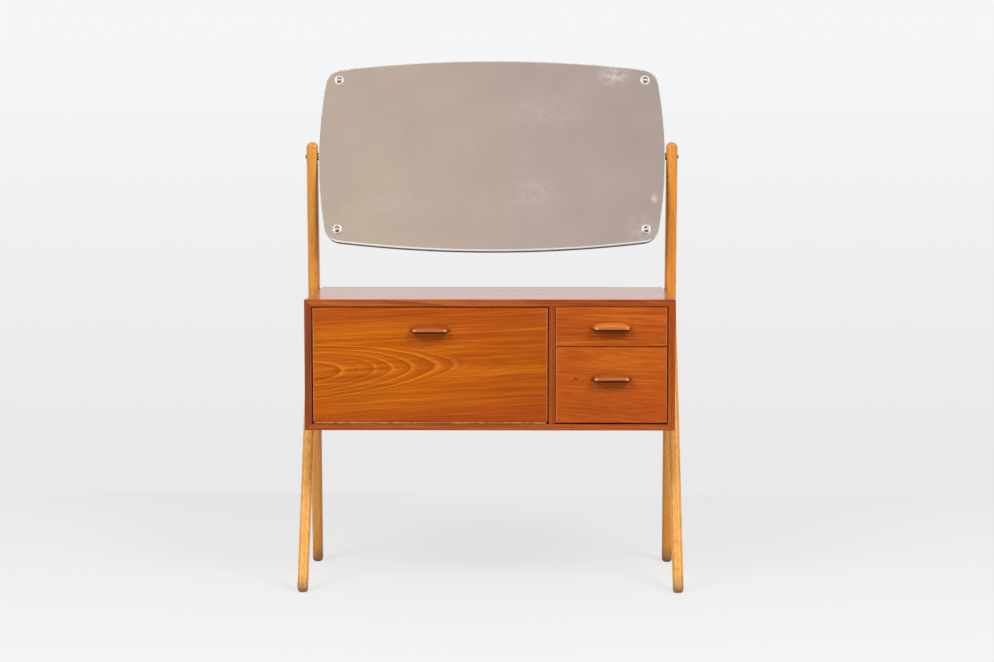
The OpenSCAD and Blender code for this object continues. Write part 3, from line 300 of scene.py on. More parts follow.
# Where across the door each point of the figure lies, and how bold it is
POINTS = ((-0.352, 0.9), (-0.270, 0.75), (-0.232, 0.95), (-0.187, 0.9), (-0.134, 1.0), (-0.094, 0.7),
          (0.02, 0.3))


def sunk(along):
    """How deep the door's trunk has sunk at a place along it, by its smooth dive."""
    start, end, deep = DIVE
    part = min(max((along - start) / (end - start), 0.0), 1.0)
    return deep * part * part * (3 - 2 * part)


# Each pull, the front it is screwed to and its wood
HANDLES = (("flap_handle", "flap_panel", "handle"),
           ("upper_drawer_handle", "upper_drawer_front", "light_handle"),
           ("lower_drawer_handle", "lower_drawer_front", "handle"))


def painted_lip_glints():
    """Soft pale spots at both ends of each pull's lip: painted glints of the lamps on its curved ends."""
    middles = [(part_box(node)[0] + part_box(node)[1]) / 2 for node, *_ in HANDLES]
    return [((middle.x + side * 0.0338, middle.z - 0.003), (0.005, 0.008), -0.9)
            for middle in middles for side in (-1, 1)]


# What the pulls share, and what the legs share
PULL_PITH = (0.0, front_y + 0.06, 0.56)
# The pulls' cut ends go darker than other teak's: end grain, and painted shade on the ends that curve back
CARVED = {"ring": 3.5, "warp": 2.0, "contrast": 0.35, "gloss": 0.4, "roughness": 0.3, "lacquer": 0.6,
          "end_colour": "#3a1404"}
LEG = {"grain": ALONG_Z, "ring": 4.0, "warp": 3.0, "fleck": "#a5652a", "fleck_size": (5.0, 1.3),
       "gloss": 0.25, "roughness": 0.36, "lacquer": 0.15, "foot": "#6e5138", "end_colour": "#b9803c"}
LONG_LEG = {**LEG, "contrast": 0.22, "fleck_amount": 0.45, "drift": 0.25}

MATERIALS = {
    # Flat-sawn teak veneer: the trunk leans into the door, so the rings close in nested points.
    # It is darker towards its right end, and a little darker along the lower edge
    "door": wood("oiled_teak_flame_veneer", TEAK_VENEER, (FLAME_X, front_y + HEART, FLAME_Z),
                 lean=(radians(-3), 0.0), ring=3.6, warp=2.9, contrast=0.64, streak=0.56, dive=DIVE,
                 reddens=(0.11, 0.15), gloss=0.1,
                 spots=(((0.12, 0.50), (0.20, 0.15), 0.2), ((-0.20, 0.42), (0.25, 0.03), 0.1)),
                 figure=[(HEART + sunk(x - FLAME_X), bold) for x, bold in POINTS]),
    "upper": wood("oiled_teak_upper_drawer", TEAK_DRAWER, (0.2, front_y + 0.30, 0.80),
                  lean=(radians(1.5), radians(2)), ring=6.0, warp=5.0, contrast=0.45, streak=0.6, gloss=0.12),
    # A pale patch near the top, darker ones left of it and along the lower edge, and a small
    # dark knot beside the pull
    "lower": wood("oiled_teak_lower_drawer", TEAK_DRAWER, (0.25, front_y + 0.16, 0.30),
                  lean=(radians(2), radians(3)), ring=6.5, warp=9.0, contrast=0.22, streak=0.26, gloss=0.12,
                  spots=(((0.27, 0.535), (0.11, 0.03), -0.16), ((0.20, 0.545), (0.05, 0.03), 0.12),
                         ((0.25, 0.41), (0.16, 0.05), 0.12), ((0.190, 0.4955), (0.006, 0.005), 0.7))),
    "top": wood("lacquered_teak_top", TEAK_TOP, (0.0, 0.1, 0.30), lean=(radians(1), radians(1.2)), ring=5.5,
                contrast=0.9, streak=1.8, gloss=0.3, roughness=0.34, lacquer=0.55),
    "bottom": wood("oiled_teak_bottom", TEAK_SOLID, (0.0, 0.0, 0.62), lean=(radians(1), radians(1)),
                   ring=5.5),
    "left_side": wood("oiled_teak_left_side", TEAK_DARK, (-0.62, 0.05, 0.5), grain=ALONG_Z,
                      lean=(radians(1), 0.0), ring=5.5),
    "right_side": wood("oiled_teak_right_side", TEAK_SOLID, (0.62, 0.05, 0.5), grain=ALONG_Z,
                       lean=(radians(-1), 0.0), ring=5.5, gloss=0.08),
    "divider": wood("oiled_teak_divider", TEAK_DIVIDER, (0.33, 0.05, 0.5), grain=ALONG_Z, gloss=0.08),
    "handle": wood("carved_teak_pull", TEAK_HANDLE, PULL_PITH, **CARVED),
    "light_handle": wood("carved_light_teak_pull", TEAK_PULL, PULL_PITH, **CARVED),
    # The pulls' lips are painted a paler teak: a painted highlight, with painted glints at both ends
    "lip_highlight": wood("teak_lip_painted_highlight", TEAK_LIP_HIGHLIGHT, PULL_PITH, ring=3.5, warp=2.0, contrast=0.3,
                       gloss=0.35, roughness=0.3, lacquer=0.45, end_colour="#8a4a24", spots=painted_lip_glints()),
    # Dark teak under the pulls: painted shade
    "pull_painted_shade": wood("shaded_teak_pull", TEAK_PAINTED_SHADE, PULL_PITH, ring=3.5, contrast=0.3, gloss=0.1,
                           roughness=0.6),
    # The long legs are painted paler below the case: painted light where the case shades them
    "left_leg": wood("lacquered_beech_left", BEECH, (-0.36, 0.02, 0.4), lean=(radians(2), 0.0),
                     spots=(((-0.41, 0.2), (0.2, 0.3), -0.3),), **LONG_LEG),
    "right_leg": wood("lacquered_beech_right", BEECH_RIGHT, (0.36, 0.02, 0.4), lean=(radians(-2), 0.0),
                      spots=(((0.41, 0.2), (0.2, 0.3), -0.4),), **LONG_LEG),
    "front_leg": wood("lacquered_beech_front", BEECH_FRONT, (-0.1, -0.2, 0.4), lean=(0.0, radians(26)),
                      contrast=0.2, fleck_amount=0.4, drift=0.2, **LEG),
    "lipping_and_highlight": wood("pale_teak_edge_painted_highlight", TEAK_EDGE_AND_HIGHLIGHT, (0.0, front_y + 0.1, 0.2), ring=4.0, contrast=0.3,
                    gloss=0.5, roughness=0.3),
    "drawer_side": wood("waxed_pale_drawer_wood", PALE, (0.27, 0.0, 0.2), grain=ALONG_Y, ring=4.5, warp=3.0,
                        contrast=0.4, fleck="#8d6636", roughness=0.55, drift=0.3, end_colour="#8a5f34"),
    "plywood": wood("sanded_plywood", PLY, (0.0, 0.27, 0.2), lean=(radians(3), radians(2)), ring=7.0,
                    warp=16.0, contrast=0.45, fleck="#7c5a33", roughness=0.6, drift=0.3,
                    end_colour="#8a6238"),
}


def brass_with_age(name, dark, middle, light):
    """Brass, drawn and handled: warm yellow metal, its shine dulled in soft patches."""
    material, tree, surface = new_material(name)
    place = add(tree, "TexCoord").outputs["Object"]
    patches = add(tree, "TexNoise", {"Vector": place, "Scale": 90.0, "Detail": 4.0}).outputs["Fac"]
    colour = add(tree, "ValToRGB", {"Fac": patches},
                 [(0.3, dark), (0.75, light), (0.5, middle)]).outputs["Color"]
    dull = add(tree, "MapRange", {"Value": patches, "To Min": 0.52, "To Max": 0.34}).outputs[0]
    tree.links.new(colour, surface.inputs["Base Color"])
    tree.links.new(dull, surface.inputs["Roughness"])
    surface.inputs["Metallic"].default_value = 1.0
    return material


def plated(name, colour, low, high):
    """Plated or polished metal with faint wear: its roughness runs from low to high."""
    material, tree, surface = new_material(name)
    place = add(tree, "TexCoord").outputs["Object"]
    wear = add(tree, "TexNoise", {"Vector": place, "Scale": 220.0, "Detail": 5.0}).outputs["Fac"]
    rough = add(tree, "MapRange", {"Value": wear, "To Min": low, "To Max": high}).outputs[0]
    part = add(tree, "Math", {0: wear, 1: 0.25}, operation="MULTIPLY")
    tint = add(tree, "Mix", {"Factor": part, "A": hex_colour(colour), "B": hex_colour("#ffffff")},
               data_type="RGBA").outputs["Result"]
    tree.links.new(tint, surface.inputs["Base Color"])
    tree.links.new(rough, surface.inputs["Roughness"])
    surface.inputs["Metallic"].default_value = 1.0
    return material


# Smears on the glass: right and up from its middle, half width and half height, and strength
SMEARS = (((0.290, 0.190), (0.055, 0.032), 0.5), ((0.383, -0.100), (0.012, 0.018), 0.7),
          ((0.352, -0.175), (0.06, 0.05), 0.25), ((0.100, -0.085), (0.12, 0.06), 0.12),
          ((0.130, 0.100), (0.12, 0.06), 0.12), ((-0.200, -0.120), (0.14, 0.05), 0.08))


def silvered_glass():
    """Old silvered glass: a clear reflection with a breath of haze, and a few pale smears of dust
    and polish that a cloth has left behind."""
    material, tree, surface = new_material("silvered_mirror_glass")
    place = add(tree, "TexCoord").outputs["Object"]
    cloud = add(tree, "TexNoise", {"Vector": place, "Scale": 9.0, "Detail": 5.0, "Roughness": 0.6})
    cloud = cloud.outputs["Fac"]
    haze = add(tree, "MapRange", {"Value": cloud, "From Min": 0.35, "From Max": 0.8,
                                  "To Min": 0.015, "To Max": 0.05}).outputs[0]
    tint = add(tree, "ValToRGB", {"Fac": cloud}, [(0.3, "#e9e7e4"), (0.75, "#f3f1ee")]).outputs["Color"]
    tree.links.new(tint, surface.inputs["Base Color"])
    tree.links.new(haze, surface.inputs["Roughness"])
    low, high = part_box("mirror_glass")
    middle = (low + high) / 2
    smears = 0.0
    for (right, up), half, strength in SMEARS:
        spot = soft_spot(tree, place, (middle.x + right, middle.z + up), half)
        smears = add(tree, "Math", {0: spot, 1: strength, 2: smears}, operation="MULTIPLY_ADD")
    wisps = add(tree, "TexNoise", {"Vector": place, "Scale": 70.0, "Detail": 5.0, "Roughness": 0.55})
    wisps = add(tree, "MapRange", {"Value": wisps, "From Min": 0.35, "From Max": 0.7})
    smears = add(tree, "Math", {0: wisps, 1: smears}, operation="MULTIPLY")
    clean = add(tree, "Math", {0: 1.0, 1: smears}, operation="SUBTRACT")
    tree.links.new(clean.outputs[0], surface.inputs["Metallic"])
    return material


def glass_edge(name, shades):
    """The ground and polished rim of plate glass, glossy, between two shades."""
    material, tree, surface = new_material(name)
    place = add(tree, "TexCoord").outputs["Object"]
    grind = add(tree, "TexNoise", {"Vector": place, "Scale": 400.0, "Detail": 3.0}).outputs["Fac"]
    colour = add(tree, "ValToRGB", {"Fac": grind}, [(0.3, shades[0]), (0.7, shades[1])]).outputs["Color"]
    rough = add(tree, "MapRange", {"Value": grind, "To Min": 0.12, "To Max": 0.3}).outputs[0]
    tree.links.new(colour, surface.inputs["Base Color"])
    tree.links.new(rough, surface.inputs["Roughness"])
    surface.inputs["IOR"].default_value = 1.52
    return material


def mottled(name, colours, grain_mm, roughness):
    """Matt board or moulded plastic: two close colours in a fine mottle, with a slight tooth."""
    material, tree, surface = new_material(name)
    place = add(tree, "TexCoord").outputs["Object"]
    speck = add(tree, "TexNoise", {"Vector": place, "Scale": 500 / grain_mm, "Detail": 4.0}).outputs["Fac"]
    colour = add(tree, "ValToRGB", {"Fac": speck}, [(0.35, colours[0]), (0.68, colours[1])]).outputs["Color"]
    bump = add(tree, "Bump", {"Height": speck, "Strength": 0.3, "Distance": 0.1 * MM}).outputs[0]
    tree.links.new(colour, surface.inputs["Base Color"])
    tree.links.new(bump, surface.inputs["Normal"])
    surface.inputs["Roughness"].default_value = roughness
    return material


MATERIALS.update({
    "brass": brass_with_age("rubbed_brass", "#8a5e30", "#a87846", "#c8965a"),
    "dark_brass": brass_with_age("aged_brass", "#4e3a22", "#705834", "#8e744a"),
    "steel": plated("zinc_plated_steel", "#a9acae", 0.28, 0.42),
    "nickel": plated("polished_nickel", "#dad5c8", 0.34, 0.46),
    "screw_head": plated("worn_nickel_screw", "#463f3b", 0.26, 0.36),
    # The driver keeps the slots bare: rough, so they catch the lamps
    "screw_slot": plated("bare_nickel_slot", "#fffdf8", 0.5, 0.62),
    "mirror": silvered_glass(),
    # The upper and side rims are painted pale: a painted reflection of the lamps
    "rim": glass_edge("glass_rim_painted_reflection", ("#c9d2cd", "#eef2ef")),
    # The lower rim's dark colour is partly the dark board seen through the glass and partly painted shade
    "shaded_rim": glass_edge("glass_rim_over_board_painted_shade", ("#3a2c28", "#4a3a36")),
    "board": mottled("stained_backing_board", ("#35241a", "#4a3426"), 1.2, 0.55),
    "white_plastic": mottled("moulded_white_sleeve", ("#dedcd4", "#ecebe6"), 0.8, 0.5),
    "brown_plastic": mottled("moulded_brown_catch", ("#3c2415", "#4c2f1d"), 0.8, 0.45),
})


# Making pieces

def only(piece):
    """Makes piece the one selected object."""
    bpy.ops.object.select_all(action="DESELECT")
    piece.select_set(True)
    bpy.context.view_layer.objects.active = piece


def in_edit_mode(piece, *steps):
    """Runs each step on piece in edit mode."""
    only(piece)
    bpy.ops.object.mode_set(mode="EDIT")
    for step in steps:
        step()
    bpy.ops.object.mode_set(mode="OBJECT")


def select_edges(piece, chosen):
    """Selects the edges for which chosen(middle, direction, normals) is true."""
    shape = bmesh.new()
    shape.from_mesh(piece.data)
    for part in (*shape.verts, *shape.edges, *shape.faces):
        part.select = False
    for edge in shape.edges:
        if edge.calc_face_angle(0.0) > radians(25):
            middle = (edge.verts[0].co + edge.verts[1].co) / 2
            run = edge.verts[1].co - edge.verts[0].co
            edge.select = bool(chosen(middle, run, [f.normal for f in edge.link_faces]))
    shape.to_mesh(piece.data)
    shape.free()
    bpy.context.tool_settings.mesh_select_mode = (False, True, False)


def ease(piece, width_mm, chosen, segments=3):
    """Rounds off the chosen edges to width_mm."""
    select_edges(piece, chosen)
    in_edit_mode(piece, lambda: bpy.ops.mesh.bevel(offset=width_mm * MM, segments=segments, profile=0.5,
                                                   affect="EDGES", clamp_overlap=False))


def apply(piece, kind, **settings):
    """Adds a modifier and applies it."""
    only(piece)
    modifier = piece.modifiers.new(kind.lower(), kind)
    for name, value in settings.items():
        setattr(modifier, name, value)
    bpy.ops.object.modifier_apply(modifier=modifier.name)


def smooth(piece, angle=35):
    """Shades round stretches smooth and keeps flat faces flat."""
    only(piece)
    bpy.ops.object.shade_smooth_by_angle(angle=radians(angle))
    apply(piece, "WEIGHTED_NORMAL", keep_sharp=True)


def copy_of(node):
    """A copy of a CAD node's mesh, its loose triangles merged into whole faces."""
    piece = bpy.data.objects.new(node + "_finished", NODES[node].data.copy())
    bpy.context.scene.collection.objects.link(piece)
    piece.data.materials.clear()
    in_edit_mode(piece,
                 lambda: bpy.ops.mesh.select_all(action="SELECT"),
                 lambda: bpy.ops.mesh.remove_doubles(threshold=0.002 * MM),
                 lambda: bpy.ops.mesh.dissolve_limited(angle_limit=radians(0.2)))
    return piece


def box_piece(name, low, high):
    """A cube primitive from one corner to the other."""
    bpy.ops.object.select_all(action="DESELECT")
    size = Vector(high) - Vector(low)
    bpy.ops.mesh.primitive_cube_add(size=1, location=(Vector(high) + Vector(low)) / 2)
    piece = bpy.context.object
    piece.name = name
    piece.scale = size
    bpy.ops.object.transform_apply(location=True, rotation=True, scale=True)
    return piece


def select_verts(piece, chosen):
    """Selects the vertices for which chosen(place) is true."""
    for part in (*piece.data.polygons, *piece.data.edges):
        part.select = False
    for vert in piece.data.vertices:
        vert.select = bool(chosen(vert.co))
    bpy.context.tool_settings.mesh_select_mode = (True, False, False)


def resize_at(piece, chosen, value, centre, shift=(0, 0, 0)):
    """Scales the chosen vertices about centre, then shifts them."""
    select_verts(piece, chosen)
    in_edit_mode(piece,
                 lambda: bpy.ops.transform.resize(value=value, center_override=centre),
                 lambda: bpy.ops.transform.translate(value=shift))


def cut_at(piece, axis, places):
    """Cuts the whole mesh across at each place along an axis."""
    normal = tuple(float(i == axis) for i in range(3))

    def cut(place):
        bpy.ops.mesh.select_all(action="SELECT")
        bpy.ops.mesh.bisect(plane_co=[n * place for n in normal], plane_no=normal)

    in_edit_mode(piece, *(lambda place=place: cut(place) for place in places))


def slot_of(node):
    """The record's material slot of a CAD node."""
    return next(part["material_slot"] for part in frame["record"]["subparts"] if part["node"] == node)


def settle(piece, material, *nodes):
    """Gives piece its finish and lets it stand for these CAD nodes, on their body."""
    if material:
        piece.data.materials.clear()
        piece.data.materials.append(MATERIALS[material])
    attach(piece, NODES[nodes[0]]["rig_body"])
    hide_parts(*nodes)


# Case, fronts and drawers

# Closer than this counts as being there
NEAR = 0.05 * MM


def on_front(front):
    """Picks edges that lie in the front plane and aren't a mitre."""
    def chosen(middle, run, normals):
        diagonal = abs(run.x) > 4 * MM and abs(run.z) > 4 * MM
        return abs(middle.y - front) < NEAR and abs(run.y) < NEAR and not diagonal
    return chosen


def case_panels():
    """Case: mitred teak panels whose front edges are eased. The top's lacquer ends at its front edge."""
    for node, material in (("top_panel", "top"), ("bottom_panel", "bottom"), ("left_side_panel", "left_side"),
                           ("right_side_panel", "right_side"), ("divider_panel", "divider")):
        piece = copy_of(node)
        ease(piece, 1.2, on_front(front_y))
        smooth(piece)
        settle(piece, material, node)
        if node == "top_panel":
            piece.data.materials.append(MATERIALS["bottom"])
            for face in piece.data.polygons:
                face.material_index = int(face.normal.y < -0.5)


# Each front fills its opening by this much more on every side but the hinged one, so that the
# gaps are fine lines
OIL_AND_VENEER = 0.7 * MM


def fronts():
    """Flap and drawer fronts: veneered boards with all their edges eased."""
    for node, material in (("flap_panel", "door"), ("upper_drawer_front", "upper"),
                           ("lower_drawer_front", "lower")):
        low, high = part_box(node)
        piece = copy_of(node)
        centre, size = (low + high) / 2, high - low
        growth = Vector((2, 0, 2)) * OIL_AND_VENEER
        if node == "flap_panel":
            centre.z, growth.z = low.z, OIL_AND_VENEER
        fill = [1 + more / side for more, side in zip(growth, size)]
        select_verts(piece, lambda place: True)
        in_edit_mode(piece, lambda: bpy.ops.transform.resize(value=fill, center_override=centre))
        # The upright edges are rounder than the level ones, and show the lipping, painted paler: its own
        # lighter teak and a painted highlight
        at_front = on_front(low.y)
        ease(piece, 1.5, lambda middle, run, normals: at_front(middle, run, normals)
             and abs(run.z) > abs(run.x))
        ease(piece, 0.9, lambda middle, run, normals: at_front(middle, run, normals)
             and abs(run.x) > abs(run.z))
        smooth(piece)
        settle(piece, material, node)
        # The eased upright faces take the paler edge teak: lighter lipping wood and a painted highlight
        piece.data.materials.append(MATERIALS["lipping_and_highlight"])
        for face in piece.data.polygons:
            face.material_index = int(abs(face.normal.x) > 0.1 and abs(face.normal.y) > 0.1)


def drawer_boards():
    """Drawer sides, backs and bottoms, and the case's back panel and runners."""
    for drawer in ("upper_drawer", "lower_drawer"):
        for board in ("left_side", "right_side", "back", "bottom"):
            node = f"{drawer}_{board}"
            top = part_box(node)[1].z
            piece = copy_of(node)
            ease(piece, 0.8, lambda middle, run, normals: abs(middle.z - top) < NEAR and run.length > 30 * MM)
            smooth(piece)
            settle(piece, "plywood" if board == "bottom" else "drawer_side", node)
    for node, material in (("back_panel", "plywood"), ("upper_runners", "drawer_side"),
                           ("lower_runners", "drawer_side")):
        piece = copy_of(node)
        smooth(piece)
        settle(piece, material, node)


# Legs

def turn_and_set(piece, lean, place):
    """Leans an upright piece about its foot, sets it in its place and cuts it off at the floor."""
    only(piece)
    piece.rotation_euler = (lean, 0, 0)
    piece.location = place
    bpy.ops.object.transform_apply(location=True, rotation=True, scale=True)
    in_edit_mode(piece, lambda: bpy.ops.mesh.select_all(action="SELECT"),
                 lambda: bpy.ops.mesh.bisect(plane_co=(0, 0, 0), plane_no=(0, 0, 1), use_fill=True,
                                             clear_inner=True, threshold=1e-6))


def tapered_post(name, stations, dome):
    """An upright post with its foot at the origin. stations are (height, width, depth) up the
    post; its long edges and foot are rounded, and a domed one ends in a half round."""
    base, tip = stations[0][0], stations[-1][0]
    post = box_piece(name, (-0.5, -0.5, base), (0.5, 0.5, tip))
    cut_at(post, 2, [height for height, _, _ in stations[1:-1]])
    for height, width, depth in stations:
        resize_at(post, lambda place: abs(place.z - height) < NEAR, (width, depth, 1), (0, 0, height))

    def on_tip(middle, run, normals):
        return middle.z > tip - NEAR and abs(run.y) > abs(run.x)

    def long_edge(middle, run, normals):
        facing = [abs(n.y) for n in normals]
        return middle.z > base + NEAR and max(facing) > 0.8 and min(facing) < 0.4

    if dome:
        half_width = stations[-1][1] / 2
        ease(post, half_width / MM * 0.98, on_tip, segments=12)
    ease(post, 9, long_edge, segments=6)
    ease(post, 8.6, lambda middle, run, normals: middle.z < base + NEAR, segments=6)
    return post


# The long legs lean forward as they rise, and the front legs lean back
LONG_LEAN, FRONT_LEAN = radians(3.779), radians(-26.256)
# Feet behind the case's front plane, and heights of the mirror's pivots and of the legs' joint
LONG_FOOT_Y, FRONT_FOOT_Y = 0.430, 0.067
PIVOT_Z, JOIN_Z = 0.984, 0.649
# The long legs go on past the pivots by this much
ABOVE_PIVOT = 0.034


def legs():
    """Two side frames: a long leg that carries the mirror, and a front leg let into it."""
    thick = 0.026
    up = JOIN_Z / cos(LONG_LEAN)
    top = PIVOT_Z / cos(LONG_LEAN) + ABOVE_PIVOT
    long_stations = [(0.0, 0.0242, 0.0256), (up - 0.25, thick, 0.0355), (up - 0.06, thick, 0.0412),
                     (up, thick, 0.0418), (up + 0.07, thick, 0.0398), (top, thick, 0.030)]
    reach = JOIN_Z / cos(FRONT_LEAN)
    front_stations = [(0.0012, 0.0238, 0.026), (reach * 0.5, 0.0252, 0.0312), (reach, thick, 0.036)]
    for side in ("left", "right"):
        low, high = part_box(f"{side}_long_leg")
        middle_x = (low.x + high.x) / 2
        long_leg = tapered_post(f"{side}_long_leg_finished", long_stations, True)
        turn_and_set(long_leg, LONG_LEAN, (middle_x, front_y + LONG_FOOT_Y, 0))
        front_leg = tapered_post(f"{side}_front_leg_finished", front_stations, False)
        turn_and_set(front_leg, FRONT_LEAN, (middle_x, front_y + FRONT_FOOT_Y, 0))
        apply(front_leg, "BOOLEAN", object=long_leg, operation="DIFFERENCE", solver="EXACT")
        for piece, node in ((long_leg, f"{side}_long_leg"), (front_leg, f"{side}_front_leg")):
            smooth(piece, 30)
            settle(piece, f"{side}_leg" if piece is long_leg else "front_leg", node)


# Pulls

def handles():
    """Carved pulls: a boat-shaped block that sweeps out to a thin lip, hollowed below for the fingers."""
    # In mm: how far out, half length, top and bottom; then how far the ends draw together in height
    sections = ((0.0, 45.6, 10.3, -10.4, 0.26), (0.8, 46.4, 10.4, -10.4, 0.26), (9.0, 44.0, 8.4, -10.2, 0.4),
                (17.0, 41.2, 4.7, -9.8, 0.7), (21.2, 40.0, 1.8, -9.2, 0.95), (22.0, 39.6, 0.8, -8.2, 0.95),
                (23.4, 39.0, -2.4, -5.4, 0.95), (23.95, 38.0, -3.1, -4.7, 0.95))
    # In mm: the block that each is shaped from, half of its straight middle, and the height at
    # which its ends draw together
    length, reach, height = 92, 23.95, 20
    straight, ends_z = 29, -3.8
    for node, front, material in HANDLES:
        low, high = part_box(node)
        middle = (low + high) / 2
        wood_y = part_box(front)[0].y
        pull = box_piece(node + "_finished", (-length / 2 * MM, -reach * MM, -height / 2 * MM),
                         (length / 2 * MM, 0, height / 2 * MM))
        cut_at(pull, 1, [-out * MM for out, *_ in sections[1:-1]])
        cut_at(pull, 0, [-straight * MM, straight * MM])
        for out, half, top, bottom, ends in sections:
            def here(place):
                return abs(place.y + out * MM) < NEAR

            def at_end(place):
                return here(place) and abs(place.x) > (half - 1) * MM

            rise = (top + bottom) / 2 * MM
            resize_at(pull, here, (half / (length / 2), 1, (top - bottom) / height), (0, 0, 0), (0, 0, rise))
            resize_at(pull, at_end, (1, 1, ends), (0, 0, ends_z * MM))
        apply(pull, "SUBSURF", levels=3, render_levels=3)
        hollow = finger_hollow()
        apply(pull, "BOOLEAN", object=hollow, operation="DIFFERENCE", solver="EXACT")
        bpy.data.objects.remove(hollow)
        only(pull)
        pull.location = (middle.x, wood_y, middle.z)
        bpy.ops.object.transform_apply(location=True, rotation=True, scale=True)
        smooth(pull, 40)
        settle(pull, material, node)
        pull.data.materials.append(MATERIALS["lip_highlight"])
        pull.data.materials.append(MATERIALS["pull_painted_shade"])
        for face in pull.data.polygons:
            # Faces on the lip take the paler teak: a painted highlight
            on_lip = face.normal.y < -0.7 and abs(face.normal.x) < 0.6 and face.center.y < wood_y - 20.9 * MM
            # Faces that look down take the dark teak: painted shade
            face.material_index = 2 if face.normal.z < -0.2 else int(on_lip)


def finger_hollow():
    """The cove under a pull: a ball that is cut in two and drawn out to this much each way."""
    radius, spread = 8.6 * MM, 22 * MM
    bpy.ops.object.select_all(action="DESELECT")
    bpy.ops.mesh.primitive_uv_sphere_add(segments=32, ring_count=16, radius=radius,
                                         rotation=(0, radians(90), 0))
    cove = bpy.context.object
    bpy.ops.object.transform_apply(location=True, rotation=True, scale=True)
    cut_at(cove, 0, [0.0])
    for sign in (-1, 1):
        resize_at(cove, lambda place: place.x * sign > NEAR, (1, 1, 1), (0, 0, 0), (sign * spread, 0, 0))
    only(cove)
    cove.location = (0, -8.3 * MM, -10.8 * MM)
    bpy.ops.object.transform_apply(location=True, rotation=True, scale=True)
    return cove


# Mirror

# It leans back by this at rest. FACING is the way that it looks, and UPWARD runs up its face
MIRROR_TILT = radians(13)
FACING = Vector((0, -cos(MIRROR_TILT), sin(MIRROR_TILT)))
UPWARD = Vector((0, sin(MIRROR_TILT), cos(MIRROR_TILT)))


def select_facing(piece, least):
    """Selects the faces that look the way the mirror does."""
    for part in (*piece.data.vertices, *piece.data.edges):
        part.select = False
    for face in piece.data.polygons:
        face.select = face.normal.dot(FACING) > least
    bpy.context.tool_settings.mesh_select_mode = (False, False, True)


def bevelled_glass():
    """Mirror glass: a flat face, a narrow polished bevel round it, and a ground rim."""
    glass = copy_of("mirror_glass")
    width, fall = 4.2 * MM, 0.32 * MM
    select_facing(glass, 0.99)
    in_edit_mode(glass, lambda: bpy.ops.transform.translate(value=-FACING * fall),
                 lambda: bpy.ops.mesh.inset(thickness=width, depth=fall, use_boundary=True))

    def outer_edge(middle, run, normals):
        turned = sorted(n.dot(FACING) for n in normals)
        return len(normals) == 2 and turned[1] > 0.95 and turned[0] < 0.5 and run.length > 3 * MM

    ease(glass, 1.2, outer_edge, segments=2)
    smooth(glass, 8)
    settle(glass, "mirror", "mirror_glass")
    glass.data.materials.append(MATERIALS["rim"])
    glass.data.materials.append(MATERIALS["shaded_rim"])
    for face in glass.data.polygons:
        # Upper and side rims are painted pale as a painted reflection; the lower rim dark, as painted shade
        # and the board behind
        face.material_index = 0 if face.normal.dot(FACING) > 0.95 else 1 if face.normal.z > -0.3 else 2


def backing_board():
    """The dark board behind the glass, its upper and lower edges out to the glass's own. The holes
    for the screws stay where they are."""
    board = copy_of("mirror_board")
    low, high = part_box("mirror_screws")
    middle = Vector([(a + b) / 2 for a, b in zip(*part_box("mirror_board"))])

    def on_edge(place, side):
        at_screw = min(abs(place.x - low.x), abs(place.x - high.x)) < 20 * MM
        height = (place - middle).dot(UPWARD) * side
        return height > 0.19 or (height > 0.15 and not at_screw)

    for side in (1, -1):
        select_verts(board, lambda place: on_edge(place, side))
        in_edit_mode(board, lambda: bpy.ops.transform.translate(value=UPWARD * side * 1.6 * MM))
    smooth(board)
    settle(board, "board", "mirror_board")


def mirror_parts():
    """Mirror, its board, and the nickel screws and cups that hold it."""
    bevelled_glass()
    backing_board()
    for node, material in (("mirror_cup_washers", "nickel"), ("mirror_screws", "screw_head"),
                           ("pivot_screws", "dark_brass"), ("pivot_inserts", "dark_brass")):
        piece = copy_of(node)
        smooth(piece)
        settle(piece, material, node)
        if node == "mirror_screws":
            piece.data.materials.append(MATERIALS["screw_slot"])
            for face in piece.data.polygons:
                slot_floor = face.normal.dot(FACING) > 0.9995
                slot_wall = abs(face.normal.dot(UPWARD)) > 0.999
                face.material_index = int(slot_floor or slot_wall)


def small_parts():
    """Every other CAD node keeps its solid and gets its finish."""
    finishes = {"brass": "brass", "steel": "steel", "chrome": "nickel", "plastic_white": "white_plastic",
                "plastic_brown": "brown_plastic", "beech": "left_leg", "drawer_wood": "drawer_side",
                "plywood": "plywood", "teak_handle": "handle", "teak_case": "bottom", "teak_front": "door",
                "dark_board": "board", "mirror": "mirror"}
    for name, node in NODES.items():
        if not node.hide_render:
            node.data.materials.clear()
            node.data.materials.append(MATERIALS[finishes[slot_of(name)]])


# Setting: camera, floor, wall and light

# Width of the photograph and distance from lens to picture, both in its pixels
IMAGE_WIDTH, FOCAL_LENGTH = 994, 2050
# Sensor width in mm
SENSOR = 36


def camera():
    """The photograph's viewpoint: 4.5 m in front of the case, at eye height for a seated person."""
    eye = bpy.data.cameras.new("camera")
    eye.lens = FOCAL_LENGTH / IMAGE_WIDTH * SENSOR
    eye.sensor_width = SENSOR
    eye.clip_end = 60
    view = bpy.data.objects.new("camera", eye)
    view.location = (0.063, -4.716, 0.9944)
    view.rotation_euler = (radians(90 - 4.985), 0.0, radians(0.598))
    bpy.context.scene.collection.objects.link(view)
    bpy.context.scene.camera = view


def plain(name, tree_of):
    """A material made of its own surface only: tree_of(tree) gives the shader's output."""
    material = bpy.data.materials.new(name)
    material.use_nodes = True
    tree = material.node_tree
    tree.nodes.clear()
    add(tree, "OutputMaterial", {"Surface": tree_of(tree)})
    return material


# Where the wall stands, and how large it and the floor are
WALL_Y, EXPANSE = 1.207, 24


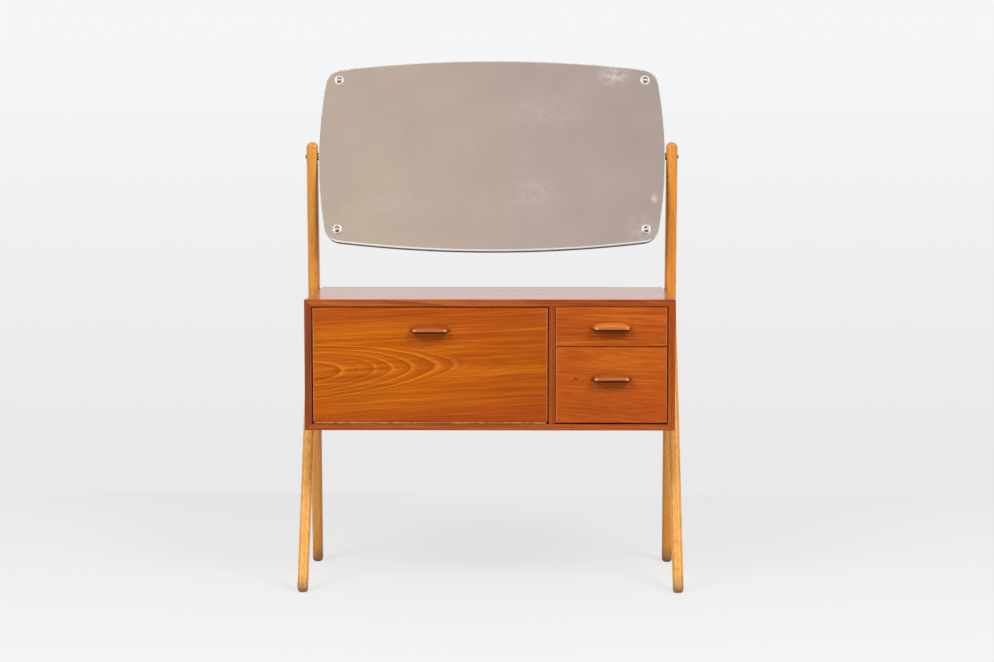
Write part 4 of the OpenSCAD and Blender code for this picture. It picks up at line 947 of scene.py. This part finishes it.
def floor_and_wall():
    """A pale floor that takes shadows, and a pale wall behind that only the camera and gloss see."""
    def floor_surface(tree):
        place = add(tree, "TexCoord").outputs["Object"]
        distance = add(tree, "SeparateXYZ", {0: place}).outputs["Y"]
        far = add(tree, "MapRange", {"Value": distance, "From Min": -1.2, "From Max": 1.2})
        colour = add(tree, "ValToRGB", {"Fac": far}, [(0.0, "#f6f6f6"), (1.0, "#f1f1f1")])
        lit = add(tree, "BsdfDiffuse", {"Color": hex_colour("#f2f1f0")})
        dull = add(tree, "BsdfDiffuse", {"Color": hex_colour("#e6e5e4")})
        pale = add(tree, "Emission", {"Color": colour})
        shown = add(tree, "MixShader", {0: 0.75, 1: lit, 2: pale})
        path = add(tree, "LightPath")
        seen = add(tree, "Math", {0: path.outputs["Is Camera Ray"], 1: path.outputs["Is Glossy Ray"]},
                   operation="MAXIMUM")
        seen = add(tree, "Math", {0: seen, 1: path.outputs["Is Transmission Ray"]}, operation="MAXIMUM")
        return add(tree, "MixShader", {0: seen, 1: dull, 2: shown})

    def wall_surface(tree):
        place = add(tree, "TexCoord").outputs["Object"]
        height = add(tree, "SeparateXYZ", {0: place}).outputs["Z"]
        part = add(tree, "MapRange", {"Value": height, "From Max": 2.0})
        shades = [(0.05, "#e9e9e9"), (0.66, "#f5f6f7"), (0.36, "#efefef")]
        colour = add(tree, "ValToRGB", {"Fac": part}, shades)
        glow = add(tree, "Emission", {"Color": colour})
        clear = add(tree, "BsdfTransparent")
        behind = add(tree, "NewGeometry").outputs["Backfacing"]
        return add(tree, "MixShader", {0: behind, 1: glow, 2: clear})

    bpy.ops.object.select_all(action="DESELECT")
    bpy.ops.mesh.primitive_plane_add(size=EXPANSE, location=(0, 0, 0))
    floor = bpy.context.object
    floor.name = "floor"
    floor.data.materials.append(plain("pale_paper_floor", floor_surface))
    bpy.ops.object.select_all(action="DESELECT")
    bpy.ops.mesh.primitive_plane_add(size=EXPANSE, location=(0, WALL_Y, EXPANSE / 2),
                                     rotation=(radians(90), 0, 0))
    wall = bpy.context.object
    wall.name = "wall"
    bpy.ops.object.transform_apply(location=True, rotation=True, scale=True)
    wall.data.materials.append(plain("pale_wall", wall_surface))
    wall.visible_diffuse = False
    wall.visible_shadow = False


def softbox(name, place, target, size, power):
    """A large soft lamp that faces target."""
    lamp = bpy.data.lights.new(name, "AREA")
    lamp.shape = "RECTANGLE"
    lamp.size, lamp.size_y = size
    lamp.energy = power
    box = bpy.data.objects.new(name, lamp)
    box.location = place
    box.rotation_euler = (Vector(target) - Vector(place)).to_track_quat("-Z", "Y").to_euler()
    bpy.context.scene.collection.objects.link(box)


def light():
    """An even studio: white near the horizon, warm grey higher up, where the mirror looks."""
    world = bpy.data.worlds.new("studio")
    bpy.context.scene.world = world
    world.use_nodes = True
    tree = world.node_tree
    tree.nodes.clear()
    way = add(tree, "SeparateXYZ", {0: add(tree, "TexCoord").outputs["Generated"]})
    room = add(tree, "ValToRGB", {"Fac": way.outputs["Z"]},
               [(0.26, "#fffcf9"), (0.95, "#ffffff"), (0.31, "#cbbcae"), (0.36, "#d0bfb0"), (0.48, "#cabaac"),
                (0.58, "#f4f2ef")])
    across = add(tree, "MapRange", {"Value": way.outputs["X"], "From Min": -0.06, "From Max": 0.05})
    side = add(tree, "ValToRGB", {"Fac": across}, [(0.0, "#ffffff"), (1.0, "#f0eefa")])
    room = add(tree, "Mix", {"Factor": 1.0, "A": room, "B": side}, data_type="RGBA",
               blend_type="MULTIPLY")
    seen = add(tree, "Background", {"Color": room, "Strength": 1.0})
    even = add(tree, "Background", {"Color": hex_colour("#fbfaf8"), "Strength": 0.42})
    path = add(tree, "LightPath")
    watched = add(tree, "Math", {0: path.outputs["Is Glossy Ray"], 1: path.outputs["Is Transmission Ray"]},
                  operation="MAXIMUM")
    mixed = add(tree, "MixShader", {0: watched, 1: even, 2: seen})
    white = add(tree, "Background", {"Color": hex_colour("#f4f5f5"), "Strength": 1.0})
    final = add(tree, "MixShader", {0: path.outputs["Is Camera Ray"], 1: mixed, 2: white})
    add(tree, "OutputWorld", {"Surface": final})
    for name, to_right, watts in (("lamp_right", 2.5, 136), ("lamp_left", -2.5, 114)):
        softbox(name, (to_right, -3.4, 3.75), (0, 0, 0.6), (2.0, 1.7), watts)


camera()
floor_and_wall()
light()
case_panels()
fronts()
drawer_boards()
legs()
handles()
mirror_parts()
small_parts()

bpy.context.scene.view_settings.view_transform = "Standard"
